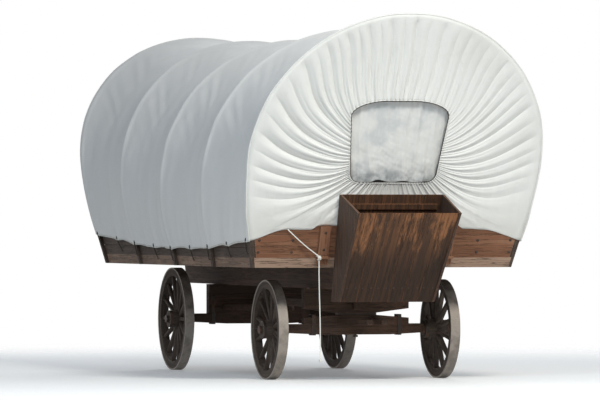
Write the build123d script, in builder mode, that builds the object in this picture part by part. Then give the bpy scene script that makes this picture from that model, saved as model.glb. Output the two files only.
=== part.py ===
from build123d import *
from math import asin, copysign, cos, pi, sin, sqrt, tan
import os

# Covered wagon with a wide flared bed, a saddle-backed canvas bonnet on five bows, a leaning
# driver's box and a steered front gear on four dished wooden wheels.
# Millimetres. +X is the front, +Y the left side, +Z up, the ground is Z 0.

os.makedirs("parts", exist_ok=True)

# Clearances
seat_gap = 0.3           # soft or curved faces that meet
board_gap = 3            # between neighbouring boards
running_gap = 5          # between pieces that move past each other
bore_gap = 0.3           # round a spindle or a pin, on the radius

# Bed
bed_bottom = 1150        # underside of the bed above the ground
bed_half_length = 2850   # from the middle to the raked end, at the underside
end_rake = 0.40          # run of the ends for each unit of height
bed_half_width = 1345    # to the outer face of the side boards, at the underside
side_flare = 0.20        # run of the sides for each unit of height
rail_height = 100
rail_width = 80
end_sill_width = 90
floor_thickness = 25
floor_board_count = 10
side_height = 410        # top of the side boards above the underside
gate_height = 450        # top of the end gates above the underside
gate_over_hem = 25       # the end hems hang this far below the top of the gates
board_thickness = 22
wall_board_count = 3
bearer_count = 9
bearer_pitch = 610
bearer_width = 85
main_sill_height = 220
main_sill_width = 100
main_sill_offset = 420   # from the middle line

# Side stakes and bows
stake_width = 60
stake_thickness = 32
stake_height = 290
bow_width = 50
bow_thickness = 22
bow_bulge = 102          # the bows stand this far outside their feet at their widest
end_bow_setback = 30
end_bow_x = bed_half_length - end_bow_setback
# share of the way to the end bows, lean for each unit of height, top above the underside of the bed
bows_table = (
    (-1.0, -end_rake, 2525),
    (-0.5, -0.18, 2430),
    (0.0, 0.0, 2380),
    (0.5, 0.18, 2430),
    (1.0, end_rake, 2525),
)

# Canvas
canvas_thickness = 12
canvas_gap = 5           # between a bow and the canvas that slopes past it
hem_over_stakes = 0      # the end hem hangs down to the tops of the stakes
hem_height_end = bed_bottom + stake_height + hem_over_stakes
hem_height_middle = 1345
crown_chords = 16        # straight stretches over the crown of a bow
leg_chords = 3           # and down each of its legs
end_hem_half_width = 715
opening_bottom = 2000
opening_top = 2800
opening_half_bottom = 465
opening_half_top = 520
opening_corner = 120
curtain_margin = 45

# Gate posts with their cleats
post_offset = 655
post_width = 110
post_thickness = 40
post_bottom = 1180
post_hem_gap = 10        # below the hem of the end wall
cleat_height = 1250
cleat_depth = 28
cleat_length = 130
cleat_thickness = 24

# Driver's box
box_bottom = 803
box_back_top = 1887
box_front_top = 1700
box_foot_depth = 266     # from the raked end to the front boards' outer face, at the bottom
box_head_depth = 660     # and at the top
box_half_bottom = 505
box_half_top = 552
box_board_count = 6
box_side_proud = 16
box_cleat_height = 60
box_seat_height = 1250
box_seat_depth = 300
box_seat_thickness = 28

# Running gear
front_axle_setback = 910     # behind the front end of the bed's underside
rear_axle_setback = 1250     # ahead of its rear end
front_axle_x = bed_half_length - front_axle_setback
rear_axle_x = -bed_half_length + rear_axle_setback
half_track = 918
front_wheel_radius = 509
rear_wheel_radius = 555
front_spoke_count = 12
rear_spoke_count = 14
axle_depth = 110
axle_width = 110
sand_board_height = 92
rub_plate_half_length = 200
rub_plate_width = 90
rub_plate_thickness = 10
bolster_half_length = 560
bolster_top = bed_bottom - main_sill_height
bolster_split = 800      # between the lower and the upper bolster timber
bolster_end_rise = 45
reach_size = 90
reach_overhang_front = 120   # past the front axle
reach_overhang_rear = 250    # past the rear axle
reach_edge = 8
king_pin_radius = 14
hound_height = 55
hound_width = 60
hound_tail = 540             # from the front axle back to the hounds' ends
hound_tail_y = 330
jaw_start = 460              # from the front axle forward to the parallel jaws
jaw_length = 300
jaw_half_gap = 50
tongue_pin_radius = 12.5
tongue_pin_inset = 80        # from the front of the jaws
sway_radius = 600
sway_width = 60
sway_half_angle = 38
rear_hound_length = 1040
rear_hound_half_span = 430
rear_hound_height = 60

# Wheels
tyre_width = 100
tyre_thickness = 14
felloe_width = 88
felloe_depth = 74
felloe_joint = 2
felloe_chords = 4        # straight stretches of the rim for each spoke
hub_outer = 85           # outer end of the hub, outwards from the middle of the tyre
hub_inner = 175          # inner end of the hub, inwards from the middle of the tyre
hub_radius = 100
hub_neck_radius = 82
hub_band_radius = 88
hub_band_width = 30
hub_flat = 40            # half the straight stretch of the hub round the spokes' feet
journal_radius = 32
dish = 38                # the rim stands this far outside the spokes' feet
spoke_foot = (62, 40)    # along the hub, around it
spoke_tip = (46, 34)
spoke_chamfer = 10
collar_radius = 60
collar_width = 18
nut_radius = 44
nut_width = 30
hub_play = 2

# Rope tail below the cleat
rope_diameter = 12
rope_offset = 45         # outwards from the middle of the cleat


def slant(height, lean):
    """Length along a leaning line that climbs by the height."""
    return height * sqrt(1 + lean**2)


def lean_plane(x, lean, base=bed_bottom):
    """Plane across the wagon that crosses height base at x and leans along X; its local y runs up."""
    return Plane(origin=(x, 0, base), x_dir=(0, 1, 0), z_dir=(1, 0, -lean))


def end_x(height, inset=0):
    """Place of the raked front end at a height above the ground."""
    return bed_half_length + end_rake * (height - bed_bottom) - inset


def side_y(height):
    """Outer face of the flared side boards at a height above the ground."""
    return bed_half_width + side_flare * (height - bed_bottom)


def rise(height):
    """Length up the raked end from the underside of the bed to a height above the ground."""
    return slant(height - bed_bottom, end_rake)


def cut_to_ends(low, high, inset=0):
    """Keep only what lies between the two raked ends."""
    with BuildSketch(Plane.XZ) as envelope:
        Polygon(
            (-end_x(low, inset), low),
            (end_x(low, inset), low),
            (end_x(high, inset), high),
            (-end_x(high, inset), high),
        )
    extrude(envelope.sketch, amount=2 * bed_half_width, both=True, mode=Mode.INTERSECT)


def arch(half_foot, foot, half_wide, top):
    """Outline of a bow: side arcs that stand upright where it is widest, and a round crown."""
    centre = top - half_wide
    bulge = half_wide - half_foot
    side_radius = (bulge**2 + (centre - foot) ** 2) / (2 * bulge)
    sweep = asin((centre - foot) / side_radius)
    right = []
    for step in range(leg_chords):
        turn = sweep * (step / leg_chords - 1)
        right.append((half_wide - side_radius * (1 - cos(turn)), centre + side_radius * sin(turn)))
    left = [(-x, y) for x, y in reversed(right)]
    crown = []
    for step in range(crown_chords + 1):
        turn = pi * step / crown_chords
        crown.append((half_wide * cos(turn), centre + half_wide * sin(turn)))
    return right + crown + left


def finish(builder, name):
    """Label a finished sub-part and write it out."""
    builder.part.label = name
    export_step(builder.part, f"parts/{name}.step")


# Bed frame: two rails with raked ends, and the end sills between them
rail_top = bed_bottom + rail_height
rail_inner = bed_half_width - rail_width
with BuildPart() as bed_frame:
    with BuildSketch(Plane.YZ):
        Polygon(
            (rail_inner, bed_bottom),
            (side_y(bed_bottom), bed_bottom),
            (side_y(rail_top), rail_top),
            (rail_inner, rail_top),
        )
    extrude(amount=1.5 * bed_half_length, both=True)
    mirror(about=Plane.XZ)
    cut_to_ends(bed_bottom, rail_top)
    with BuildSketch(Plane.XZ):
        Polygon(
            (end_x(bed_bottom, end_sill_width), bed_bottom),
            (end_x(bed_bottom), bed_bottom),
            (end_x(rail_top), rail_top),
            (end_x(rail_top, end_sill_width), rail_top),
        )
        mirror(about=Plane.YZ)
    extrude(amount=rail_inner, both=True)
finish(bed_frame, "bed_frame")

# Main sills, the front ends long enough to carry the driver's box
box_setoff = canvas_thickness + 2 * seat_gap
with BuildPart() as main_sills:
    sill_bottom = bed_bottom - main_sill_height
    with BuildSketch(Plane.XZ.offset(-(main_sill_offset - main_sill_width / 2))):
        Polygon(
            (-end_x(sill_bottom), sill_bottom),
            (end_x(sill_bottom, -box_setoff), sill_bottom),
            (end_x(bed_bottom, -box_setoff), bed_bottom),
            (-end_x(bed_bottom), bed_bottom),
        )
    extrude(amount=-main_sill_width)
    mirror(about=Plane.XZ)
finish(main_sills, "main_sills")

# Cross bearers between the rails, on the main sills
bearer_height = rail_height - floor_thickness
with BuildPart() as cross_bearers:
    with BuildSketch(Plane.XY.offset(bed_bottom)):
        with GridLocations(bearer_pitch, 0, bearer_count, 1):
            Rectangle(bearer_width, 2 * rail_inner)
    extrude(amount=bearer_height)
finish(cross_bearers, "cross_bearers")

# Floor boards, flush with the top of the rails
floor_board_width = (2 * rail_inner - (floor_board_count - 1) * board_gap) / floor_board_count
with BuildPart() as floor_boards:
    with BuildSketch(Plane.XY.offset(rail_top - floor_thickness)):
        with GridLocations(0, floor_board_width + board_gap, 1, floor_board_count):
            Rectangle(3 * bed_half_length, floor_board_width)
    extrude(amount=floor_thickness)
    cut_to_ends(rail_top - floor_thickness, rail_top, end_sill_width)
finish(floor_boards, "floor_boards")

# Side boards, three on each side, leaning with the flare
side_top = bed_bottom + side_height
side_board_width = (side_top - rail_top - (wall_board_count - 1) * board_gap) / wall_board_count
for side_name, side in (("left", 1), ("right", -1)):
    with BuildPart() as side_boards:
        for row in range(wall_board_count):
            low = rail_top + row * (side_board_width + board_gap)
            high = low + side_board_width
            with BuildSketch(Plane.YZ):
                Polygon(
                    (side * side_y(low), low),
                    (side * side_y(high), high),
                    (side * (side_y(high) - board_thickness), high),
                    (side * (side_y(low) - board_thickness), low),
                )
            extrude(amount=1.5 * bed_half_length, both=True)
        cut_to_ends(rail_top, side_top)
    finish(side_boards, f"side_boards_{side_name}")

# Side stakes, which clamp the boards to the rails and carry the bows
stake_top = bed_bottom + stake_height
foot_half = side_y(stake_top) + stake_thickness
with BuildPart() as side_stakes:
    for share, lean, top in bows_table:
        with BuildSketch(lean_plane(share * end_bow_x - stake_width / 2, lean)):
            for side in (1, -1):
                Polygon(
                    (side * bed_half_width, 0),
                    (side * (bed_half_width + stake_thickness), 0),
                    (side * foot_half, slant(stake_height, lean)),
                    (side * side_y(stake_top), slant(stake_height, lean)),
                )
        extrude(amount=stake_width, dir=(1, 0, 0))
finish(side_stakes, "side_stakes")

# End gates, boards across the wagon between the side boards
gate_top = bed_bottom + gate_height
gate_board_width = (gate_top - rail_top - (wall_board_count - 1) * board_gap) / wall_board_count
for end_name, end in (("front", 1), ("rear", -1)):
    with BuildPart() as end_gate:
        for row in range(wall_board_count):
            low = rail_top + row * (gate_board_width + board_gap)
            high = low + gate_board_width
            half_low = side_y(low) - board_thickness - seat_gap
            half_high = side_y(high) - board_thickness - seat_gap
            with BuildSketch(lean_plane(end * bed_half_length, end * end_rake)):
                Polygon(
                    (-half_low, rise(low)),
                    (half_low, rise(low)),
                    (half_high, rise(high)),
                    (-half_high, rise(high)),
                )
            extrude(amount=board_thickness, dir=(-end, 0, 0))
    finish(end_gate, f"{end_name}_gate")

# Gate posts with a cleat on each
end_hem_height = gate_top - gate_over_hem
post_top = end_hem_height - post_hem_gap
cleat_x = end_x(cleat_height) + post_thickness
with BuildPart() as gate_posts:
    for side in (1, -1):
        near = side * (post_offset - post_width / 2)
        far = side * (post_offset + post_width / 2)
        with BuildSketch(lean_plane(bed_half_length, end_rake)):
            Polygon((near, rise(post_bottom)), (far, rise(post_bottom)), (far, rise(post_top)), (near, rise(post_top)))
        extrude(amount=post_thickness, dir=(1, 0, 0))
    with BuildSketch(Plane.YZ.offset(cleat_x - cleat_depth)):
        for side in (1, -1):
            with Locations((side * post_offset, cleat_height)):
                Rectangle(cleat_length, cleat_thickness)
    extrude(amount=2 * cleat_depth)
    mirror(about=Plane.YZ)
finish(gate_posts, "gate_posts")

# Bows, hoops of two bent laths each, which stand on the stakes and meet at the ridge
with BuildPart() as bows:
    for share, lean, top in bows_table:
        foot = slant(stake_height, lean)
        crown = slant(top, lean)
        half_wide = foot_half + bow_bulge
        outer = arch(foot_half, foot, half_wide, crown)
        inner = arch(foot_half - bow_thickness, foot, half_wide - bow_thickness, crown - bow_thickness)
        middle = len(outer) // 2
        ridge_joint = [(seat_gap / 2, crown), (seat_gap / 2, crown - bow_thickness)]
        lath = outer[:middle] + ridge_joint + inner[:middle][::-1]
        with BuildSketch(lean_plane(share * end_bow_x - bow_width / 2, lean)) as laths:
            Polygon(*lath)
            mirror(about=Plane.YZ)
        extrude(laths.sketch, amount=bow_width, dir=(1, 0, 0))
finish(bows, "bows")

# Bonnet stations: x, lean, top above the underside of the bed, hem height
bonnet_stations = []
for share, lean, top in bows_table:
    hem = hem_height_middle + abs(share) * (hem_height_end - hem_height_middle)
    bonnet_stations.append((share * bed_half_length, lean, top, hem))


def canvas_outline(station, skin, hem_drop=0):
    """Outline of the canvas at a station, with its face this far outside the bows."""
    x, lean, top, hem = station
    foot = hem - hem_drop
    half_foot = side_y(foot) + stake_thickness + skin
    half_wide = foot_half + bow_bulge + skin
    return arch(half_foot, slant(foot - bed_bottom, lean), half_wide, slant(top, lean) + skin)


# Bonnet: the canvas from bow to bow, open below and at both ends
hem_clearance = 3 * canvas_thickness
with BuildPart() as bonnet:
    for station in bonnet_stations:
        with BuildSketch(lean_plane(station[0], station[1])):
            Polygon(*canvas_outline(station, canvas_gap + canvas_thickness))
    loft(ruled=True)
    for station in bonnet_stations:
        with BuildSketch(lean_plane(station[0], station[1])):
            Polygon(*canvas_outline(station, canvas_gap, hem_clearance))
    loft(ruled=True, mode=Mode.SUBTRACT)
finish(bonnet, "bonnet")

# End walls of the canvas, gathered round a rounded opening
for end_name, end, station in (("front", 1, bonnet_stations[-1]), ("rear", -1, bonnet_stations[0])):
    with BuildPart() as end_wall:
        with BuildSketch(lean_plane(end * (bed_half_length + seat_gap), end * end_rake)):
            Polygon(*canvas_outline(station, canvas_gap + canvas_thickness))
            hem_corner = side_y(hem_height_end) + stake_thickness + canvas_gap + canvas_thickness
            Polygon(
                (-hem_corner, rise(hem_height_end)),
                (hem_corner, rise(hem_height_end)),
                (end_hem_half_width, rise(end_hem_height)),
                (-end_hem_half_width, rise(end_hem_height)),
                mode=Mode.SUBTRACT,
            )
            with BuildLine():
                FilletPolyline(
                    (-opening_half_bottom, rise(opening_bottom)),
                    (opening_half_bottom, rise(opening_bottom)),
                    (opening_half_top, rise(opening_top)),
                    (-opening_half_top, rise(opening_top)),
                    radius=opening_corner,
                    close=True,
                )
            make_face(mode=Mode.SUBTRACT)
        extrude(amount=canvas_thickness, dir=(end, 0, 0))
    finish(end_wall, f"bonnet_{end_name}_end")

# Curtain that closes the front opening from inside
curtain_low = opening_bottom - curtain_margin
curtain_high = opening_top + curtain_margin
with BuildPart() as front_curtain:
    with BuildSketch(lean_plane(bed_half_length, end_rake)):
        Polygon(
            (-opening_half_bottom - curtain_margin, rise(curtain_low)),
            (opening_half_bottom + curtain_margin, rise(curtain_low)),
            (opening_half_top + curtain_margin, rise(curtain_high)),
            (-opening_half_top - curtain_margin, rise(curtain_high)),
        )
    extrude(amount=canvas_thickness, dir=(-1, 0, 0))
finish(front_curtain, "front_curtain")

# Driver's box: flared sides, upright boards front and back, floor and seat
box_flare = (box_half_top - box_half_bottom) / (box_back_top - box_bottom)
box_front_foot = end_x(box_bottom) + box_foot_depth
box_front_head = end_x(box_front_top) + box_head_depth
box_front_lean = (box_front_head - box_front_foot) / (box_front_top - box_bottom)


def box_half(height):
    """Half the width of the driver's box, to the outer faces of its sides."""
    return box_half_bottom + box_flare * (height - box_bottom)


def box_front_x(height, inset=0):
    """Outer face of the front boards at a height above the ground."""
    return box_front_foot + box_front_lean * (height - box_bottom) - inset


box_back_x = box_setoff + board_thickness
with BuildPart() as box_sides:
    side_plane = Plane(
        origin=(0, box_half_bottom, box_bottom),
        x_dir=(1, 0, 0),
        z_dir=(0, -1, box_flare),
    )
    with BuildSketch(side_plane):
        Polygon(
            (end_x(box_bottom, -box_setoff), 0),
            (box_front_x(box_bottom, -box_side_proud), 0),
            (box_front_x(box_front_top, -box_side_proud), box_front_top - box_bottom),
            (end_x(box_back_top, -box_back_x), box_back_top - box_bottom),
            (end_x(box_back_top, -box_setoff), box_back_top - box_bottom),
        )
    extrude(amount=board_thickness)
    mirror(about=Plane.XZ)
finish(box_sides, "box_sides")


def box_boards(foot_x, lean, top, inward):
    """Upright boards between the box sides with two cross cleats on their inner face."""
    depth = slant(board_thickness, lean)
    clear = board_thickness + seat_gap
    half_low = box_half(box_bottom) - clear
    half_high = box_half(top) - clear
    height = slant(top - box_bottom, lean)
    with BuildSketch(lean_plane(foot_x, lean, box_bottom)) as boards:
        for index in range(box_board_count):
            near = -1 + 2 * index / box_board_count
            far = -1 + 2 * (index + 1) / box_board_count
            Polygon(
                (near * half_low + board_gap / 2, 0),
                (far * half_low - board_gap / 2, 0),
                (far * half_high - board_gap / 2, height),
                (near * half_high + board_gap / 2, height),
            )
    extrude(boards.sketch, amount=depth, dir=(inward, 0, 0))
    with BuildSketch(lean_plane(foot_x + inward * depth, lean, box_bottom)) as cleats:
        for share in (0.12, 0.86):
            low = share * height
            Polygon(
                (-half_low, low),
                (half_low, low),
                (half_low, low + box_cleat_height),
                (-half_low, low + box_cleat_height),
            )
    extrude(cleats.sketch, amount=depth, dir=(inward, 0, 0))


with BuildPart() as box_back:
    box_boards(end_x(box_bottom, -box_setoff), end_rake, box_back_top, 1)
finish(box_back, "box_back")

with BuildPart() as box_front:
    box_boards(box_front_x(box_bottom), box_front_lean, box_front_top, -1)
finish(box_front, "box_front")

box_front_depth = slant(board_thickness, box_front_lean)
box_back_depth = slant(board_thickness, end_rake)
box_floor_top = box_bottom + board_thickness
with BuildPart() as box_floor:
    with BuildSketch(Plane.XZ):
        Polygon(
            (end_x(box_bottom, -box_setoff - box_back_depth), box_bottom),
            (box_front_x(box_bottom, box_front_depth), box_bottom),
            (box_front_x(box_floor_top, box_front_depth), box_floor_top),
            (end_x(box_floor_top, -box_setoff - box_back_depth), box_floor_top),
        )
    extrude(amount=box_half(box_bottom) - board_thickness - seat_gap, both=True)
finish(box_floor, "box_floor")

box_seat_top = box_seat_height + box_seat_thickness
with BuildPart() as box_seat:
    with BuildSketch(Plane.XZ):
        Polygon(
            (end_x(box_seat_height, -box_setoff - box_back_depth), box_seat_height),
            (end_x(box_seat_height, -box_setoff - box_back_depth) + box_seat_depth, box_seat_height),
            (end_x(box_seat_height, -box_setoff - box_back_depth) + box_seat_depth, box_seat_top),
            (end_x(box_seat_top, -box_setoff - box_back_depth), box_seat_top),
        )
    extrude(amount=box_half(box_seat_height) - board_thickness - seat_gap, both=True)
finish(box_seat, "box_seat")

# Bolsters: a lower timber that houses the reach, and an upper one that carries the main sills
front_axle_top = front_wheel_radius + axle_depth / 2
front_axle_bottom = front_axle_top - axle_depth
rear_axle_top = rear_wheel_radius + axle_depth / 2
rear_axle_bottom = rear_axle_top - axle_depth
sand_board_top = front_axle_top + sand_board_height
upper_plate_bottom = sand_board_top + rub_plate_thickness + seat_gap
upper_plate_top = upper_plate_bottom + rub_plate_thickness
reach_bottom = bolster_split - reach_size


def reach_slot():
    """Housing for the reach, open at the top of the lower timber."""
    with BuildSketch(Plane.YZ.offset(rear_axle_x - axle_width)) as slot:
        with Locations((0, reach_bottom + reach_size / 2)):
            Rectangle(reach_size + 2 * seat_gap, reach_size + 2 * seat_gap)
    extrude(slot.sketch, amount=front_axle_x - rear_axle_x + 2 * axle_width, mode=Mode.SUBTRACT)


with BuildPart() as front_bolster:
    with BuildSketch(Plane.YZ.offset(front_axle_x - axle_width / 2)):
        Polygon(
            (-rub_plate_half_length, upper_plate_top),
            (rub_plate_half_length, upper_plate_top),
            (bolster_half_length, upper_plate_top + bolster_end_rise),
            (bolster_half_length, bolster_top),
            (-bolster_half_length, bolster_top),
            (-bolster_half_length, upper_plate_top + bolster_end_rise),
        )
    extrude(amount=axle_width)
    reach_slot()
    with BuildSketch(Plane.XY.offset(upper_plate_top)):
        with Locations((front_axle_x, 0)):
            Circle(king_pin_radius + bore_gap)
    extrude(amount=reach_size, mode=Mode.SUBTRACT)
finish(front_bolster, "front_bolster")


def rear_hound_outline(spare=0):
    """Plan of the two rear hounds, from the sides of the reach out to past the rear axle."""
    half = hound_width / 2 + spare
    tail_x = rear_axle_x - axle_width
    nose_x = rear_axle_x + rear_hound_length
    for side in (1, -1):
        Polygon(
            (nose_x, side * (hound_width - half)),
            (nose_x, side * (hound_width + half)),
            (tail_x, side * (rear_hound_half_span + half)),
            (tail_x, side * (rear_hound_half_span - half)),
        )


with BuildPart() as rear_bolster:
    with BuildSketch(Plane.YZ.offset(rear_axle_x - axle_width / 2)):
        Polygon(
            (-bolster_half_length, rear_axle_top),
            (bolster_half_length, rear_axle_top),
            (bolster_half_length, bolster_top),
            (-bolster_half_length, bolster_top),
        )
    extrude(amount=axle_width)
    reach_slot()
    with BuildSketch(Plane.XY.offset(reach_bottom - rear_hound_height)):
        rear_hound_outline(seat_gap)
    extrude(amount=rear_hound_height, mode=Mode.SUBTRACT)
finish(rear_bolster, "rear_bolster")

# Reach, the long pole between the two axles
with BuildPart() as reach:
    with BuildSketch(Plane.YZ.offset(rear_axle_x - reach_overhang_rear)):
        with Locations((0, reach_bottom + reach_size / 2)):
            Rectangle(reach_size, reach_size)
        chamfer(vertices(), reach_edge)
    extrude(amount=reach_overhang_rear + front_axle_x - rear_axle_x + reach_overhang_front)
    with BuildSketch(Plane.XY.offset(reach_bottom)):
        with Locations((front_axle_x, 0)):
            Circle(king_pin_radius + bore_gap)
    extrude(amount=reach_size, mode=Mode.SUBTRACT)
finish(reach, "reach")

with BuildPart() as rear_hounds:
    with BuildSketch(Plane.XY.offset(reach_bottom - rear_hound_height)):
        rear_hound_outline()
    extrude(amount=rear_hound_height)
finish(rear_hounds, "rear_hounds")

# King pin with the upper rub plate
king_nut_top = front_axle_bottom - running_gap
with BuildPart() as king_pin:
    with BuildSketch(Plane.XY.offset(king_nut_top)):
        with Locations((front_axle_x, 0)):
            Circle(king_pin_radius)
    extrude(amount=bolster_split - king_nut_top)
    with BuildSketch(Plane.XY.offset(upper_plate_bottom)):
        with Locations((front_axle_x, 0)):
            Rectangle(rub_plate_width, 2 * rub_plate_half_length)
    extrude(amount=rub_plate_thickness)
    with BuildSketch(Plane.XY.offset(king_nut_top)):
        with Locations((front_axle_x, 0)):
            RegularPolygon(2 * king_pin_radius, 6)
    extrude(amount=-1.5 * king_pin_radius)
finish(king_pin, "king_pin")

# Axle beams with the iron spindles that carry the hubs
axle_half_length = half_track - hub_inner - hub_play - collar_width


def axle_beam(x, low):
    """Wooden axle, full in the middle and drawn in towards its ends."""
    with BuildSketch(Plane.YZ.offset(x - axle_width / 2)) as side_view:
        Polygon(
            (-axle_half_length, low + axle_depth / 6),
            (-axle_half_length / 2, low),
            (axle_half_length / 2, low),
            (axle_half_length, low + axle_depth / 6),
            (axle_half_length, low + axle_depth),
            (-axle_half_length, low + axle_depth),
        )
    extrude(side_view.sketch, amount=axle_width)


# Along a spindle from the end of its axle: radius, length
spindle_steps = (
    (collar_radius, collar_width),
    (journal_radius - bore_gap, hub_inner + hub_outer + 2 * hub_play),
)


def spindles(x, height):
    """Iron spindles with a collar inside the hub and a nut outside it."""
    place = axle_half_length
    for radius, length in spindle_steps:
        with BuildSketch(Plane(origin=(x, place, height), x_dir=(1, 0, 0), z_dir=(0, 1, 0))) as step:
            Circle(radius)
        extrude(step.sketch, amount=length)
        place += length
    with BuildSketch(Plane(origin=(x, place, height), x_dir=(1, 0, 0), z_dir=(0, 1, 0))) as nut:
        RegularPolygon(nut_radius, 6)
    extrude(nut.sketch, amount=nut_width)
    mirror(about=Plane.XZ)


with BuildPart() as front_axle:
    axle_beam(front_axle_x, front_axle_bottom)
    with BuildSketch(Plane.XY.offset(front_axle_bottom)):
        with Locations((front_axle_x, 0)):
            Circle(king_pin_radius + 2 * bore_gap)
    extrude(amount=axle_depth, mode=Mode.SUBTRACT)
finish(front_axle, "front_axle")

with BuildPart() as rear_axle:
    axle_beam(rear_axle_x, rear_axle_bottom)
finish(rear_axle, "rear_axle")

with BuildPart() as front_spindles:
    spindles(front_axle_x, front_wheel_radius)
finish(front_spindles, "front_spindles")

with BuildPart() as rear_spindles:
    spindles(rear_axle_x, rear_wheel_radius)
finish(rear_spindles, "rear_spindles")

# Front hounds: they run from the sway bar through the sand board to the tongue jaws
jaw_y = jaw_half_gap + hound_width / 2
hound_top = front_axle_top + hound_height
hound_tail_x = front_axle_x - hound_tail
jaw_start_x = front_axle_x + jaw_start
jaw_end_x = jaw_start_x + jaw_length


def front_hound_outline(spare=0):
    """Plan of the two front hounds, splayed behind the axle and parallel at the jaws."""
    half = hound_width / 2 + spare
    for side in (1, -1):
        Polygon(
            (hound_tail_x, side * (hound_tail_y - half)),
            (jaw_start_x, side * (jaw_y - half)),
            (jaw_end_x, side * (jaw_y - half)),
            (jaw_end_x, side * (jaw_y + half)),
            (jaw_start_x, side * (jaw_y + half)),
            (hound_tail_x, side * (hound_tail_y + half)),
        )


with BuildPart() as front_hounds:
    with BuildSketch(Plane.XY.offset(front_axle_top)):
        front_hound_outline()
    extrude(amount=hound_height)
    with BuildSketch(Plane.XZ):
        with Locations((jaw_end_x - tongue_pin_inset, front_axle_top + hound_height / 2)):
            Circle(tongue_pin_radius)
    extrude(amount=2 * jaw_y, both=True, mode=Mode.SUBTRACT)
finish(front_hounds, "front_hounds")

# Sway bar, an arc about the king pin that slides under the reach
with BuildPart() as sway_bar:
    with BuildSketch(Plane.XY.offset(hound_top)):
        with Locations((front_axle_x, 0)):
            Circle(sway_radius + sway_width / 2)
            Circle(sway_radius - sway_width / 2, mode=Mode.SUBTRACT)
        reach_out = 2 * sway_radius
        spread = sway_half_angle * pi / 180
        Polygon(
            (front_axle_x, 0),
            (front_axle_x - reach_out * cos(spread), reach_out * sin(spread)),
            (front_axle_x - reach_out * cos(spread), -reach_out * sin(spread)),
            mode=Mode.INTERSECT,
        )
    extrude(amount=reach_bottom - running_gap - hound_top)
finish(sway_bar, "sway_bar")

# Sand board on the front axle, housed over the hounds
with BuildPart() as sand_board:
    with BuildSketch(Plane.YZ.offset(front_axle_x - axle_width / 2)):
        Polygon(
            (-bolster_half_length, front_axle_top),
            (bolster_half_length, front_axle_top),
            (bolster_half_length, sand_board_top - sand_board_height / 3),
            (rub_plate_half_length, sand_board_top),
            (-rub_plate_half_length, sand_board_top),
            (-bolster_half_length, sand_board_top - sand_board_height / 3),
        )
    extrude(amount=axle_width)
    with BuildSketch(Plane.XY.offset(front_axle_top)):
        front_hound_outline(seat_gap)
    extrude(amount=hound_height, mode=Mode.SUBTRACT)
    with BuildSketch(Plane.XY.offset(front_axle_top)):
        with Locations((front_axle_x, 0)):
            Circle(king_pin_radius + 2 * bore_gap)
    extrude(amount=sand_board_height, mode=Mode.SUBTRACT)
finish(sand_board, "sand_board")

with BuildPart() as rub_plate:
    with BuildSketch(Plane.XY.offset(sand_board_top)):
        with Locations((front_axle_x, 0)):
            Rectangle(rub_plate_width, 2 * rub_plate_half_length)
            Circle(king_pin_radius + 2 * bore_gap, mode=Mode.SUBTRACT)
    extrude(amount=rub_plate_thickness)
finish(rub_plate, "rub_plate")

# Wheels
# name, axle x, side, outer radius, number of spokes
wheels = (
    ("front_left", front_axle_x, 1, front_wheel_radius, front_spoke_count),
    ("front_right", front_axle_x, -1, front_wheel_radius, front_spoke_count),
    ("rear_left", rear_axle_x, 1, rear_wheel_radius, rear_spoke_count),
    ("rear_right", rear_axle_x, -1, rear_wheel_radius, rear_spoke_count),
)

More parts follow.
